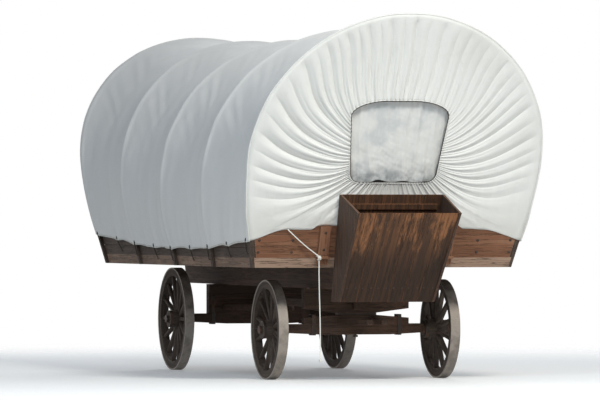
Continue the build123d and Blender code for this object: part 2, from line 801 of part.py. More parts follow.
for wheel_name, wheel_x, side, radius, spoke_count in wheels:
    centre = Vector(wheel_x, side * half_track, radius)
    outwards = Vector(0, side, 0)
    wheel_plane = Plane(origin=centre, x_dir=(-side, 0, 0), z_dir=outwards)
    felloe_outer = radius - tyre_thickness
    felloe_inner = felloe_outer - felloe_depth

    # Hub: a barrel with a flat under each spoke, drawn in to a band at each end
    hub_sides = 2 * spoke_count
    hub_turn = 180 / hub_sides
    hub_apothem = hub_radius * cos(pi / hub_sides)
    neck_apothem = hub_neck_radius * cos(pi / hub_sides)
    with BuildPart() as hub:
        with BuildSketch(wheel_plane.offset(-hub_inner)):
            RegularPolygon(hub_radius, hub_sides, rotation=hub_turn)
        extrude(amount=hub_inner + hub_outer)
        along = hub.faces().sort_by(Axis(centre, outwards))
        for end_face, shoulder in ((along[0], hub_inner - dish - hub_flat), (along[-1], hub_outer + dish - hub_flat)):
            chamfer(end_face.edges(), hub_apothem - neck_apothem, shoulder, reference=end_face)
        for hub_end in (-hub_inner, hub_outer):
            with BuildSketch(wheel_plane.offset(hub_end)):
                RegularPolygon(hub_band_radius, hub_sides, rotation=hub_turn)
            extrude(amount=-copysign(hub_band_width, hub_end))
        with BuildSketch(wheel_plane.offset(-hub_inner)):
            Circle(journal_radius)
        extrude(amount=hub_inner + hub_outer, mode=Mode.SUBTRACT)
    finish(hub, f"hub_{wheel_name}")

    # Spokes: eight-sided, tapered and dished, from the hub to the rim
    foot_reach = hub_apothem + seat_gap
    tip_reach = felloe_inner - seat_gap
    with BuildPart() as spoke:
        with BuildSketch(Plane(origin=centre, x_dir=outwards, z_dir=(side, 0, 0))):
            Polygon(
                (-dish - spoke_foot[0] / 2, foot_reach),
                (-dish + spoke_foot[0] / 2, foot_reach),
                (spoke_tip[0] / 2, tip_reach),
                (-spoke_tip[0] / 2, tip_reach),
            )
        extrude(amount=spoke_foot[1], both=True)
        with BuildSketch(wheel_plane):
            Polygon(
                (-spoke_foot[1] / 2, foot_reach),
                (spoke_foot[1] / 2, foot_reach),
                (spoke_tip[1] / 2, tip_reach),
                (-spoke_tip[1] / 2, tip_reach),
            )
        extrude(amount=dish + spoke_foot[0], both=True, mode=Mode.INTERSECT)
        chamfer(spoke.edges().sort_by(SortBy.LENGTH)[-4:], spoke_chamfer)
    with BuildPart() as spokes:
        for index in range(spoke_count):
            add(spoke.part.rotate(Axis(centre, outwards), 360 * (index + 0.5) / spoke_count))
    finish(spokes, f"spokes_{wheel_name}")

    # Felloes: the wooden rim in one segment for each pair of spokes
    rim_sides = felloe_chords * spoke_count
    half_turn = 180 / rim_sides
    with BuildPart() as felloes:
        with BuildSketch(wheel_plane):
            RegularPolygon(felloe_outer - seat_gap, rim_sides, rotation=half_turn)
            RegularPolygon(felloe_inner, rim_sides, major_radius=False, rotation=half_turn, mode=Mode.SUBTRACT)
            with PolarLocations((felloe_outer + felloe_inner) / 2, spoke_count // 2):
                Rectangle(2 * felloe_depth, felloe_joint, mode=Mode.SUBTRACT)
        extrude(amount=felloe_width / 2, both=True)
    finish(felloes, f"felloes_{wheel_name}")

    # Tyre: a flat iron ring
    with BuildPart() as tyre:
        with BuildSketch(wheel_plane):
            Circle(radius)
            Circle(felloe_outer, mode=Mode.SUBTRACT)
        extrude(amount=tyre_width / 2, both=True)
    finish(tyre, f"tyre_{wheel_name}")

# Rope tail that hangs from the right-hand cleat
rope_top = cleat_height - cleat_thickness / 2
rope_x = cleat_x + cleat_depth / 2
rope_y = -(post_offset + rope_offset)
# forward, left and down from where the rope leaves the cleat
rope_route = (
    (0, 0, 0),
    (0, 0, -165),
    (4, 2, -337),
    (12, 5, -510),
    (23, 5, -683),
    (38, 2, -855),
    (57, -4, -1028),
)
points = [Vector(rope_x + ahead, rope_y + left, rope_top + up) for ahead, left, up in rope_route]
bend_radii = []
for before, here, after in zip(points, points[1:], points[2:]):
    turn = (here - before).get_angle(after - here) * pi / 180
    shorter = min((here - before).length, (after - here).length)
    bend_radii.append(0.45 * shorter / tan(turn / 2))
with BuildPart() as rope_tail:
    with BuildLine() as rope_path:
        FilletPolyline(*points, radius=bend_radii)
    with BuildSketch(Plane(origin=points[0], z_dir=points[1] - points[0])):
        Circle(rope_diameter / 2)
    sweep()
finish(rope_tail, "rope_tail")
rope_length = sum(edge.length for edge in rope_path.edges())
rope_section = pi * rope_diameter**2 / 4
print("rope radii", [round(radius) for radius in bend_radii])
print("rope length", round(rope_length))
print("rope volume", round(rope_tail.part.volume), "of", round(rope_section * rope_length))
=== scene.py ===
import math

import bmesh
import bpy
import numpy as np
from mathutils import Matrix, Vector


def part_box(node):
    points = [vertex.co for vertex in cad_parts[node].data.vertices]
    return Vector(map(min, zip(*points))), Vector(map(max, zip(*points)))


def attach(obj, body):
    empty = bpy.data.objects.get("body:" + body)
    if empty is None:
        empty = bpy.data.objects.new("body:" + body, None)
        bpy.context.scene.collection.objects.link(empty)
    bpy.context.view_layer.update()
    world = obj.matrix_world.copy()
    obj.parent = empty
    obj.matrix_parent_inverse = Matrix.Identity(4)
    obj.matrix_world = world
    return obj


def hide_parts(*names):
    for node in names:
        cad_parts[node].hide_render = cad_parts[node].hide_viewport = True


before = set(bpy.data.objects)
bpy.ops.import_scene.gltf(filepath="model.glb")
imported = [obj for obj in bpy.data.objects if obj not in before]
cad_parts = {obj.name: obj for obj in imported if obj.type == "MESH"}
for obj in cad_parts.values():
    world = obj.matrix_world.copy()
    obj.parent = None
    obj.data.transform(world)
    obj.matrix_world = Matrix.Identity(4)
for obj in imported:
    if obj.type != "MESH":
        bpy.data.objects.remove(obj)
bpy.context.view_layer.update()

bl_info = {
    "name": "Covered Wagon",
    "version": (1, 0, 0),
    "blender": (4, 5, 0),
    "location": "View3D > Sidebar > Wagon",
    "description": "Canvas, timber, iron and rope finishes around the wagon's solid frame",
    "category": "Object",
}

# Places and sizes of the solid frame, in metres
BED_BOTTOM = 1.150
HALF_LENGTH = 2.850
END_RAKE = 0.40
END_SLOPE = math.sqrt(1 + END_RAKE**2)
BED_HALF_WIDTH = 1.345
SIDE_FLARE = 0.20
STAKE_TOP = 1.440
STAKE_THICKNESS = 0.032
STAKE_END = 2.820
BOW_BULGE = 0.102
BOW_WIDTH = 0.050
BOW_SHARES = (-1.0, -0.5, 0.0, 0.5, 1.0)
BOW_LEANS = (-0.40, -0.18, 0.0, 0.18, 0.40)
BOW_TOPS = (2.525, 2.430, 2.380, 2.430, 2.525)
HEM_MIDDLE = 1.325
HEM_END = 1.418
HEM_REAR = 1.468
GATE_TOP = 1.600
END_HEM = 1.538
POST_TOP = 1.565
OPENING_BOTTOM = 2.000
OPENING_TOP = 2.825
OPENING_HALF_BOTTOM = 0.465
OPENING_HALF_TOP = 0.520
OPENING_CORNERS = ((0.120, 0.120), (0.390, 0.165))
OPENING_MIDDLE = 2.360
CLEAT_HEIGHT = 1.250
CLEAT_FACE = 2.930
CLEAT_HALF = (0.028, 0.012)
CLEAT_Y = -0.700
END_TIE = (-1.050, 1.535)
EYELET_RISE = 0.030
HOOK_DROP = 0.145
POST_OFFSET = 0.655
POST_THICKNESS = 0.040
BOX_BOTTOM = 0.803
BOX_FRONT_TOP = 1.700
BOX_FRONT_FOOT = 2.977
BOX_FRONT_HEAD = 3.730
BOX_LEAN = (BOX_FRONT_HEAD - BOX_FRONT_FOOT) / (BOX_FRONT_TOP - BOX_BOTTOM)
BOX_HALF_BOTTOM = 0.505
BOX_FLARE = 0.0434
REAR_STRAP_TOP = 0.800
FRONT_AXLE = 1.940
REAR_AXLE = -1.600
FRONT_RADIUS = 0.509
REAR_RADIUS = 0.555
HALF_TRACK = 0.918
HUB_INNER = 0.175
HUB_OUTER = 0.085
HUB_END_RADIUS = 0.086
HUB_BAND_WIDTH = 0.030
FELLOE_INNER = 0.088
# name, axle x, side, outer radius, number of spokes
WHEELS = (
    ("front_left", FRONT_AXLE, 1, FRONT_RADIUS, 12),
    ("front_right", FRONT_AXLE, -1, FRONT_RADIUS, 12),
    ("rear_left", REAR_AXLE, 1, REAR_RADIUS, 14),
    ("rear_right", REAR_AXLE, -1, REAR_RADIUS, 14),
)

# Where the tail of the rope runs, from under the cleat downwards
ROPE_TAIL_ROUTE = (
    (2.944, -0.700, 1.238),
    (2.944, -0.700, 1.073),
    (2.948, -0.698, 0.901),
    (2.956, -0.695, 0.728),
    (2.967, -0.695, 0.555),
    (2.982, -0.698, 0.383),
    (3.001, -0.704, 0.210),
)

# Rows of boards: the axis across them, where they start and their pitch
SIDE_ROWS = ("Z", 1.25, 0.1043)
GATE_ROWS = ("Z", 1.25, 0.1177)
FLOOR_ROWS = ("Y", 0.0015, 0.2533)
BOX_FRONT_ROWS = ("Y", 0.0, 0.169)
BOX_BACK_ROWS = ("Y", 0.0, 0.173)

# Where the end hem comes off the gate posts and where it is level again, from the middle
POST_HEM = (0.735, 0.800)

# Curtain: heights of its edges, half widths at its foot and head, and its place behind the canvas
CURTAIN_HEIGHTS = (2.018, 2.846)
CURTAIN_HALF_WIDTHS = (0.500, 0.555)
CURTAIN_BEHIND = 0.042

# Lamps: name, place, size, power, colour; all aim at one height over the origin
LAMPS = (
    ("key", (13.5, 0.5, 10.5), 2.5, 1260.0, (1.0, 0.97, 0.90)),
    ("side", (13.5, -6.5, 8.5), 3.0, 560.0, (0.76, 0.88, 1.0)),
    ("fill", (9.0, 12.0, 5.0), 8.0, 200.0, (0.88, 0.94, 1.0)),
    ("back", (-14.0, 5.0, 8.0), 5.0, 700.0, (0.96, 0.98, 1.0)),
)
LAMP_AIM = 1.6
FLOOR_HALF = 14.0

ALONG, ACROSS, UPWARDS = np.eye(3)


# Settings


def colour(name, description, default):
    """A colour property in linear red, green and blue."""
    return bpy.props.FloatVectorProperty(
        name=name, description=description, default=default, size=3, min=0, max=1, subtype="COLOR"
    )


def length(name, description, default):
    """A length property in metres."""
    kind = {"min": 0, "precision": 4, "unit": "LENGTH", "subtype": "DISTANCE"}
    return bpy.props.FloatProperty(name=name, description=description, default=default, **kind)


class WagonCanvasSettings(bpy.types.PropertyGroup):
    """Sizes and colours of the cloth."""

    skin: length("Skin", "How far the canvas stands outside the bows", 0.010)
    cloth_thickness: length("Cloth thickness", "Thickness of the sewn duck", 0.003)
    ridge_sag: length("Ridge sag", "Drop of the ridge between two bows", 0.075)
    side_tuck: length("Side tuck", "Pull-in of the sides between two bows", 0.105)
    fold_depth: length("Fold depth", "Depth of the upright folds near the hem", 0.010)
    hem_rise: length("Hem rise", "Rise of the hem between two ties", 0.016)
    strip_width: length("Strip width", "Width of the strips the canvas is sewn from", 0.914)
    band_height: length("Band height", "Height of the sewn band above the hem", 0.30)
    pleat_depth: length("Pleat depth", "Depth of the pleats at the drawstring", 0.020)
    pleat_count: bpy.props.IntProperty(
        name="Pleats", description="Pleats round an end opening", default=112, min=12, max=200
    )
    end_dish: length("End dish", "How far the opening sits inside the end of the bonnet", 0.035)
    cloth: colour("Cloth", "Off-white cotton duck", (0.77, 0.76, 0.72))
    stain: colour("Stain", "Weather stains on the duck", (0.50, 0.475, 0.41))
    # Painted shade on the curtain: the colour of its grey-blue shadow patches and of its darker lower edge
    blotch: colour("Blotch", "Grey blotches on the curtain", (0.40, 0.44, 0.46))
    thread: colour("Thread", "Seam stitching", (0.60, 0.57, 0.50))


class WagonTimberSettings(bpy.types.PropertyGroup):
    """Colours of the timbers."""

    side: colour("Side boards", "Dark weathered boards", (0.050, 0.034, 0.026))
    side_light: colour("Side boards, worn", "Worn fibres of the side boards", (0.150, 0.105, 0.075))
    gate: colour("Gates", "Reddish brown boards", (0.200, 0.082, 0.042))
    gate_light: colour("Gates, worn", "Worn fibres of the gates", (0.420, 0.225, 0.130))
    rail: colour("Bed frame", "Dusty brown rails round the bed", (0.145, 0.092, 0.066))
    rail_light: colour("Bed frame, worn", "Pale tan fibres of the rails", (0.430, 0.285, 0.200))
    box: colour("Driver's box", "Dark stained boards", (0.046, 0.027, 0.018))
    # Also the colour of the painted light patches up high on the box front
    box_light: colour("Driver's box, worn", "Bare orange wood where the stain is gone", (0.330, 0.140, 0.058))
    gear: colour("Running gear", "Dark timbers under the bed", (0.055, 0.034, 0.025))
    gear_light: colour("Running gear, worn", "Worn fibres of the gear", (0.190, 0.105, 0.066))
    wheel: colour("Wheels", "Dark oak of the wheels", (0.045, 0.032, 0.026))
    wheel_light: colour("Wheels, worn", "Worn edges of the wheels", (0.200, 0.150, 0.112))
    bow: colour("Bows", "Bent ash", (0.30, 0.20, 0.115))
    bow_light: colour("Bows, worn", "Pale fibres of the ash", (0.52, 0.39, 0.25))


class WagonMetalSettings(bpy.types.PropertyGroup):
    """Colours and sizes of iron and rope."""

    iron: colour("Iron", "Forged iron, brown with age", (0.045, 0.036, 0.030))
    rust: colour("Rust", "Rust on the iron", (0.150, 0.066, 0.032))
    tread: colour("Tread", "Worn faces of the tyres", (0.38, 0.335, 0.29))
    rope: colour("Rope", "White three-strand rope", (0.74, 0.71, 0.64))
    # Painted shade: the dark drawstrings draw the shadow line round the openings, and the dark lashings shade
    # along the hems
    tarred: colour("Tarred cord", "Dark cord of the drawstrings and lashings", (0.060, 0.045, 0.034))
    rope_radius: length("Rope radius", "Radius of the tie rope", 0.006)
    cord_radius: length("Cord radius", "Radius of the drawstrings and lashings", 0.0045)
    bolt_radius: length("Bolt radius", "Radius of the carriage bolts' heads", 0.015)
    nail_radius: length("Nail radius", "Radius of the nail heads", 0.007)
    strap_width: length("Strap width", "Width of the axle straps", 0.040)


class WagonStageSettings(bpy.types.PropertyGroup):
    """Floor, light and camera."""

    floor: colour("Floor", "Pale floor", (0.88, 0.88, 0.87))
    sky: colour("Sky", "Light from all round, behind the white background", (0.235, 0.265, 0.300))
    azimuth: bpy.props.FloatProperty(
        name="Azimuth", description="Direction of the view", default=math.radians(73.0), subtype="ANGLE"
    )
    distance: length("Distance", "From the camera to the middle of the wagon", 56.3)
    eye_height: length("Eye height", "Height of the camera", 1.68)
    aim_height: length("Aim height", "Height of the picture's middle", 1.84)
    lens: bpy.props.FloatProperty(
        name="Lens", description="Focal length in millimetres", default=318.0, min=10
    )


def settings(name):
    """One of the scene's groups of settings."""
    return getattr(bpy.context.scene, name)


# Shader maths


def operation(kind, turned=False):
    """A method of Value that adds one Math node; turned, it takes the other operand first."""

    def method(self, other=0.0):
        first, second = (other, self) if turned else (self, other)
        return self.shader.node("ShaderNodeMath", {"operation": kind}, {0: first, 1: second})

    return method


class Value:
    """A node's output that takes part in arithmetic; each operator adds one Math node."""

    __add__, __radd__ = operation("ADD"), operation("ADD", True)
    __sub__, __rsub__ = operation("SUBTRACT"), operation("SUBTRACT", True)
    __mul__, __rmul__ = operation("MULTIPLY"), operation("MULTIPLY", True)
    __truediv__, __pow__, __mod__ = operation("DIVIDE"), operation("POWER"), operation("FLOORED_MODULO")
    __abs__, sin, floor = operation("ABSOLUTE"), operation("SINE"), operation("FLOOR")
    arctan2 = operation("ARCTAN2")

    def __init__(self, shader, socket):
        self.shader = shader
        self.socket = socket

    def step(self, low, high):
        """0 below low and 1 above high, with a smooth rise between them."""
        inputs = {0: self, 1: low, 2: high}
        return self.shader.node("ShaderNodeMapRange", {"interpolation_type": "SMOOTHSTEP"}, inputs)


class Shader:
    """The nodes of a material or a world, added by calls, and the colour that they have come to."""

    def __init__(self, block, tone):
        block.use_nodes = True
        self.block = block
        self.tree = block.node_tree
        self.tone = rgba(tone)

    def node(self, kind, options=None, inputs=None, output=None):
        """Adds a node, sets its options first, then its inputs by index or name, and gives an output."""
        made = self.tree.nodes.new(kind)
        for key, value in (options or {}).items():
            setattr(made, key, value)
        for key, value in (inputs or {}).items():
            socket = made.inputs[key] if isinstance(key, int) else self.live(made.inputs, key)
            if isinstance(value, Value):
                self.tree.links.new(value.socket, socket)
            else:
                socket.default_value = value
        return Value(self, self.live(made.outputs, output))

    @staticmethod
    def live(sockets, name=None):
        """The first socket in use, or the one of that name."""
        return next(socket for socket in sockets if socket.enabled and name in (None, socket.name))

    def places(self):
        """Object coordinates."""
        return self.node("ShaderNodeTexCoord", output="Object")

    def parts(self, vector):
        """The three numbers of a vector."""
        split = self.node("ShaderNodeSeparateXYZ", inputs={0: vector}).socket.node
        return [Value(self, socket) for socket in split.outputs]

    def marks(self):
        """The surface's own two coordinates."""
        return self.parts(self.node("ShaderNodeUVMap", {"uv_map": "Cloth"}))[:2]

    def vector(self, x, y, z):
        """A vector from three numbers."""
        return self.node("ShaderNodeCombineXYZ", inputs={0: x, 1: y, 2: z})

    def stretched(self, vector, scale):
        """A vector with each axis scaled."""
        return self.node("ShaderNodeVectorMath", {"operation": "MULTIPLY"}, {0: vector, 1: scale})

    def noise(self, vector, scale, detail=4.0, roughness=0.55):
        """Fractal noise from 0 to 1."""
        values = {"Vector": vector, "Scale": scale, "Detail": detail, "Roughness": roughness}
        return self.node("ShaderNodeTexNoise", inputs=values)

    def mix(self, factor, first, second):
        """A mix of two colours."""
        inputs = {"Factor": factor, "A": first, "B": second}
        return self.node("ShaderNodeMix", {"data_type": "RGBA"}, inputs, "Result")

    def coat(self, factor, tone, share=1.0):
        """Lays a colour over the one that is there."""
        self.tone = self.mix(factor, self.tone, rgba(tone, share))

    def bump(self, height, distance, strength=1.0, **normal):
        """A normal from a height, over another Normal where one is given."""
        inputs = {"Height": height, "Distance": distance, "Strength": strength, **normal}
        return self.node("ShaderNodeBump", inputs=inputs)

    def edges(self, radius):
        """A normal that rounds the edges, and a mask that is 1 on them."""
        rounded = self.node("ShaderNodeBevel", {"samples": 6}, {"Radius": radius})
        plain = self.node("ShaderNodeNewGeometry", output="Normal")
        inputs = {0: rounded, 1: plain}
        same = self.node("ShaderNodeVectorMath", {"operation": "DOT_PRODUCT"}, inputs, "Value")
        return rounded, (1 - same).step(0.01, 0.16)

    def seen(self):
        """1 on the rays that reach the camera straight, mirrored or let through, and 0 on the others."""
        kinds = ("Is Camera Ray", "Is Glossy Ray", "Is Transmission Ray")
        straight, mirrored, through = [self.node("ShaderNodeLightPath", output=kind) for kind in kinds]
        return straight + mirrored + through

    def finish(self, links, constants, last="Principled BSDF", painted="Base Color"):
        """Connects the colour and what else varies to the last node, sets what doesn't, and gives the
        material or world."""
        inputs = self.tree.nodes[last].inputs
        for name, value in {painted: self.tone, **links}.items():
            self.tree.links.new(value.socket, inputs[name])
        for name, value in constants.items():
            inputs[name].default_value = value
        return self.block


def rgba(tone, share=1.0):
    """A colour with alpha, its brightness scaled by a share."""
    return (*(part * share for part in tone), 1.0)


# Meshes


def xyz(x, y, z):
    """Points or directions from their three coordinates, each a number or an array."""
    return np.stack(np.broadcast_arrays(x, y, z), -1)


def table(*lists):
    """Every combination of the values, one array for each list and one axis for each list."""
    return np.meshgrid(*lists, indexing="ij")


def grid_of(*lists):
    """Every combination of the values in rows, one row for each list."""
    return [values.ravel() for values in table(*lists)]


def round_angles(count):
    """Evenly spaced angles once round."""
    return np.linspace(0, 2 * np.pi, count, endpoint=False)


def cells(grids):
    """The four corners of each cell in a stack of grids."""
    return np.stack([grids[:, :-1, :-1], grids[:, 1:, :-1], grids[:, 1:, 1:], grids[:, :-1, 1:]], 3)


def surface(name, points, marks=None, close_rows=False, close_columns=False, sharp=None):
    """Mesh over one or more grids of points: each cell of four neighbours is one face, and points that
    coincide become one. Marks are the surface's own coordinates, in metres except on the end walls, and
    one row or column longer where the grid closes on itself."""
    rows, columns = points.shape[-3:-1]
    index = np.arange(points.size // 3).reshape(-1, rows, columns)
    if close_rows:
        index = np.concatenate([index, index[:, :1]], 1)
    if close_columns:
        index = np.concatenate([index, index[:, :, :1]], 2)
    mesh = bpy.data.meshes.new(name)
    mesh.from_pydata(points.reshape(-1, 3), [], cells(index).reshape(-1, 4))
    if marks is not None:
        corners = cells(marks.reshape(-1, *marks.shape[-3:]))
        mesh.uv_layers.new(name="Cloth").data.foreach_set("uv", corners.ravel().astype(np.float32))
    work = bmesh.new()
    work.from_mesh(mesh)
    bmesh.ops.remove_doubles(work, verts=work.verts, dist=1e-6)
    work.to_mesh(mesh)
    work.free()
    mesh.polygons.foreach_set("use_smooth", np.ones(len(mesh.polygons), bool))
    if sharp is not None:
        mesh.set_sharp_from_angle(angle=sharp)
    mesh.update()
    return mesh


def linked(name, data):
    """An object of the scene for its data."""
    shown = bpy.data.objects.new(name, data)
    bpy.context.scene.collection.objects.link(shown)
    return shown


def piece(mesh, material, body="root"):
    """An object for a mesh, at the origin, that rides on a body."""
    shown = linked(mesh.name, mesh)
    mesh.materials.append(material)
    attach(shown, body)
    return shown


def thicken(shown, thickness):
    """Gives a surface its wall, inwards."""
    wall = shown.modifiers.new("Wall", "SOLIDIFY")
    wall.thickness = thickness
    wall.offset = -1


def unit(vectors):
    """Vectors of length one."""
    return vectors / np.linalg.norm(vectors, axis=-1, keepdims=True)


def tube(name, path, radius, sides, reference, closed=False, twist=0.0):
    """Mesh of a tube or rope along one or more paths. A ring is the circle r * (s cos a + u sin a) with
    s = reference x tangent and u = s x tangent; the three strands of a twisted rope swell r by
    cos(3 (a - twist * l)) at length l."""
    step = np.roll(path, -1, -2) - np.roll(path, 1, -2) if closed else np.gradient(path, axis=-2)
    tangent = unit(step)
    side = unit(np.cross(np.broadcast_to(reference, path.shape), tangent))
    up = np.cross(side, tangent)
    lengths = np.linalg.norm(np.diff(path, axis=-2), axis=-1)
    along = np.concatenate([np.zeros_like(lengths[..., :1]), np.cumsum(lengths, -1)], -1)
    angle = round_angles(sides)
    size = np.broadcast_to(radius, along.shape)[..., None]
    if twist:
        size = size * (0.93 + 0.11 * np.cos(3 * (angle - twist * along[..., None])))
    circle = np.cos(angle)[:, None] * side[..., None, :] + np.sin(angle)[:, None] * up[..., None, :]
    points = path[..., None, :] + size[..., None] * circle
    if closed:
        along = np.concatenate([along, along[..., -1:] + lengths[..., :1]], -1)
    else:
        first, last = [np.repeat(path[..., end, None, :], sides, -2) for end in ([0], [-1])]
        points = np.concatenate([first, points, last], -3)
        along = np.concatenate([along[..., :1], along, along[..., -1:]], -1)
    around = np.linspace(0, 2 * np.pi * float(np.max(radius)), sides + 1)
    marks = np.stack(np.broadcast_arrays(along[..., None], around), -1)
    return surface(name, points, marks, closed, True)


def hoops(name, path, outward, half_width, thickness):
    """Mesh of flat iron hoops about the Y direction: a flat bar with chamfered corners carried along
    closed paths, at path + a * outward + b * Y for each corner (a, b) of the bar."""
    cut = min(thickness, half_width) * 0.3
    low, high, edge = thickness - cut, half_width - cut, half_width
    bar = np.array(((low, edge), (thickness, high), (thickness, -high), (low, -edge), (0, -edge), (0, edge)))
    points = path[..., None, :] + bar[:, :1] * outward[..., None, :] + bar[:, 1:] * ACROSS
    return surface(name, points, None, True, True, math.radians(35))


def studs(name, groups, radius, height):
    """Mesh of domed heads on groups of spots with the directions they face: for each spot,
    spot + r cos t (u cos a + v sin a) + h sin t * outward."""
    spots, outward = [np.concatenate(parts) for parts in zip(*groups)]
    outward = unit(outward)
    first = unit(np.cross(outward, np.array((0.31, 0.52, 0.79))))
    second = np.cross(outward, first)
    rise = np.linspace(np.pi / 2, -np.pi / 2, 9)[:, None, None]
    angle = round_angles(14)[:, None]
    circle = np.cos(angle) * first[:, None, None] + np.sin(angle) * second[:, None, None]
    points = spots[:, None, None] + radius * np.cos(rise) * circle
    return surface(name, points + height * np.sin(rise) * outward[:, None, None], None, False, True)


# Shape of the canvas


def side_face(height):
    """Outer face of the flared sides at a height."""
    return BED_HALF_WIDTH + SIDE_FLARE * (height - BED_BOTTOM)


def end_face(height):
    """Outer face of the raked ends at a height."""
    return HALF_LENGTH + END_RAKE * (height - BED_BOTTOM)


def arch(hem, lean, top, skin, share):
    """Outline of the canvas over a leaning hoop and its outward direction, at a share of its length from
    the right foot, with heights up the slope from the bed's underside. Two side arcs stand upright
    where the hoop is widest, and a half circle joins them."""
    slope = np.sqrt(1 + lean**2)
    foot = (hem - BED_BOTTOM) * slope
    half_wide = side_face(STAKE_TOP) + STAKE_THICKNESS + BOW_BULGE + skin
    centre = top * slope + skin - half_wide
    bulge = half_wide - (side_face(hem) + STAKE_THICKNESS + skin)
    side_radius = (bulge**2 + (centre - foot) ** 2) / (2 * bulge)
    sweep = np.arcsin((centre - foot) / side_radius)
    leg = side_radius * sweep
    whole = 2 * leg + np.pi * half_wide
    place = share * whole
    mirrored = np.minimum(place, whole - place)
    on_leg = mirrored < leg
    turn = np.where(on_leg, -(leg - mirrored) / side_radius, (mirrored - leg) / half_wide)
    across = np.where(on_leg, half_wide - side_radius * (1 - np.cos(turn)), half_wide * np.cos(turn))
    up = centre + np.where(on_leg, side_radius * np.sin(turn), half_wide * np.sin(turn))
    side = np.where(place < whole / 2, -1.0, 1.0)
    return side * across, up, side * np.cos(turn), np.sin(turn), whole


def box_front(height):
    """Outer face of the leaning front of the driver's box at a height."""
    return BOX_FRONT_FOOT + BOX_LEAN * (height - BOX_BOTTOM)


def box_side(height):
    """Outer face of the sides of the driver's box at a height."""
    return BOX_HALF_BOTTOM + BOX_FLARE * (height - BOX_BOTTOM)


def smooth(value, low, high):
    """0 below low and 1 above high, with a smooth rise between them."""
    share = np.clip((value - low) / (high - low), 0, 1)
    return share * share * (3 - 2 * share)


def bay_place(share):
    """Place within the bay between two bows, from 0 at one bow's edge to 1 at the next one's. The end
    bows stand wholly inside their bays, the others half."""
    inside = np.mod((share + 1) * 2, 1.0)
    half_bow = BOW_WIDTH / HALF_LENGTH
    first = half_bow * np.where(share < -0.5, 2.2, 1.1)
    last = half_bow * np.where(share > 0.5, 2.2, 1.1)
    return np.clip((inside - first) / (1 - first - last), 0, 1)


def creases(place, across, seed, count, wave):
    """Sharp-backed folds: a sum of 1 - |sin| ridges whose places wander with the second coordinate."""
    random = np.random.default_rng(seed)
    total = np.zeros(np.broadcast(place, across).shape)
    for _ in range(count):
        spacing = wave * random.uniform(0.7, 1.5)
        drift = random.uniform(-0.35, 0.35)
        phase = random.uniform(0, 1)
        wander = 0.25 * np.sin(random.uniform(0.8, 2.0) * across + random.uniform(0, 6.3))
        total += (1 - np.abs(np.sin(np.pi * (place / spacing + drift * across + phase + wander)))) - 0.36
    return total / math.sqrt(count)


def unevenness(place, across, seed, wave, count=7):
    """Gentle unevenness: a sum of sines in random directions."""
    random = np.random.default_rng(seed)
    total = np.zeros(np.broadcast(place, across).shape)
    for _ in range(count):
        turn = random.uniform(0, np.pi)
        rate = 2 * np.pi / (wave * random.uniform(0.6, 1.8))
        total += np.sin(rate * (place * np.cos(turn) + across * np.sin(turn)) + random.uniform(0, 6.3))
    return total / math.sqrt(count)


def hem_height(share):
    """Height of the side hem: lowest in the middle, highest at the rear, a little lifted between its ties."""
    rear, far = np.less(share, 0), np.abs(share)
    lift = np.abs(np.sin(np.pi * (share + 1) * 4)) * (1 + 0.5 * np.sin(9.0 * share + 1.0)) - 0.5
    level = HEM_MIDDLE + (np.where(rear, HEM_REAR, HEM_END) - HEM_MIDDLE) * far ** np.where(rear, 1.7, 2.2)
    return level + settings("wagon_canvas").hem_rise * lift * (1 - far**8)


def bonnet_points(share, around, inset=0.0):
    """The canvas as a surface of the place along the wagon and of the place round the hoop.
    Hoops of the bows' shape stand at each place. Between bows they sag at the ridge and tuck in at the
    sides by (4 b (1 - b)) ** 0.65 at the place b in the bay. Near the hem upright folds lie over them, and
    on the shoulders short folds run down and forwards from each bow."""
    canvas = settings("wagon_canvas")
    lean = np.interp(share, BOW_SHARES, BOW_LEANS)
    top = np.interp(share, BOW_SHARES, BOW_TOPS)
    slope = np.sqrt(1 + lean**2)
    across, up, out_y, out_z, whole = arch(hem_height(share), lean, top, canvas.skin - inset, around)
    bay = bay_place(share)
    hang = (4 * bay * (1 - bay)) ** 0.65
    crown = np.clip(out_z, 0, 1) ** 1.5
    above_hem = np.minimum(around, 1 - around) * whole
    low = np.clip(1 - above_hem / 2.1, 0, 1)
    push = -hang * (canvas.side_tuck * (1 - 0.90 * low**1.3) + (canvas.ridge_sag - canvas.side_tuck) * crown)
    x = share * HALF_LENGTH
    side = np.sign(around - 0.5)
    broad = creases(x, side * 3.0 + low * 1.3, 11, 4, 0.46)
    fine = creases(x, side * 7.0 + low * 2.0, 23, 3, 0.19)
    pull = creases(bay * 1.4, side * 5.0 + around * 2.5, 29, 3, 0.5) * hang
    shoulder = smooth(above_hem, 0.9, 1.6) * (1 - smooth(above_hem, 2.5, 3.1))
    ahead = smooth(bay, 0.0, 0.15) * (1 - smooth(bay, 0.30, 0.70))
    short = creases(above_hem + bay * 0.9, side * 3.0 + share * 2.0, 41, 3, 0.17) * shoulder * ahead
    folds = canvas.fold_depth * (low**1.2 * broad * 1.1 + low**2.5 * fine * 0.45 + 0.35 * pull + 0.7 * short)
    for height, seed, wave in ((0.0035, 5, 0.8), (0.0012, 9, 0.22)):
        folds = folds + height * unevenness(x, around * whole, seed, wave)
    push = push + np.maximum(folds, -0.002 - 0.05 * hang)
    up = up + push * out_z
    return xyz(x + lean / slope * up, across + push * out_y, BED_BOTTOM + up / slope), whole


def bay_samples(per_bay):
    """Shares along the wagon, closer together at the bows."""
    step = np.linspace(0, 1, per_bay + 1)
    eased = 0.55 * step + 0.45 * (0.5 - 0.5 * np.cos(np.pi * step))
    return np.unique(np.concatenate([low + 0.5 * eased for low in BOW_SHARES[:-1]]).round(9))


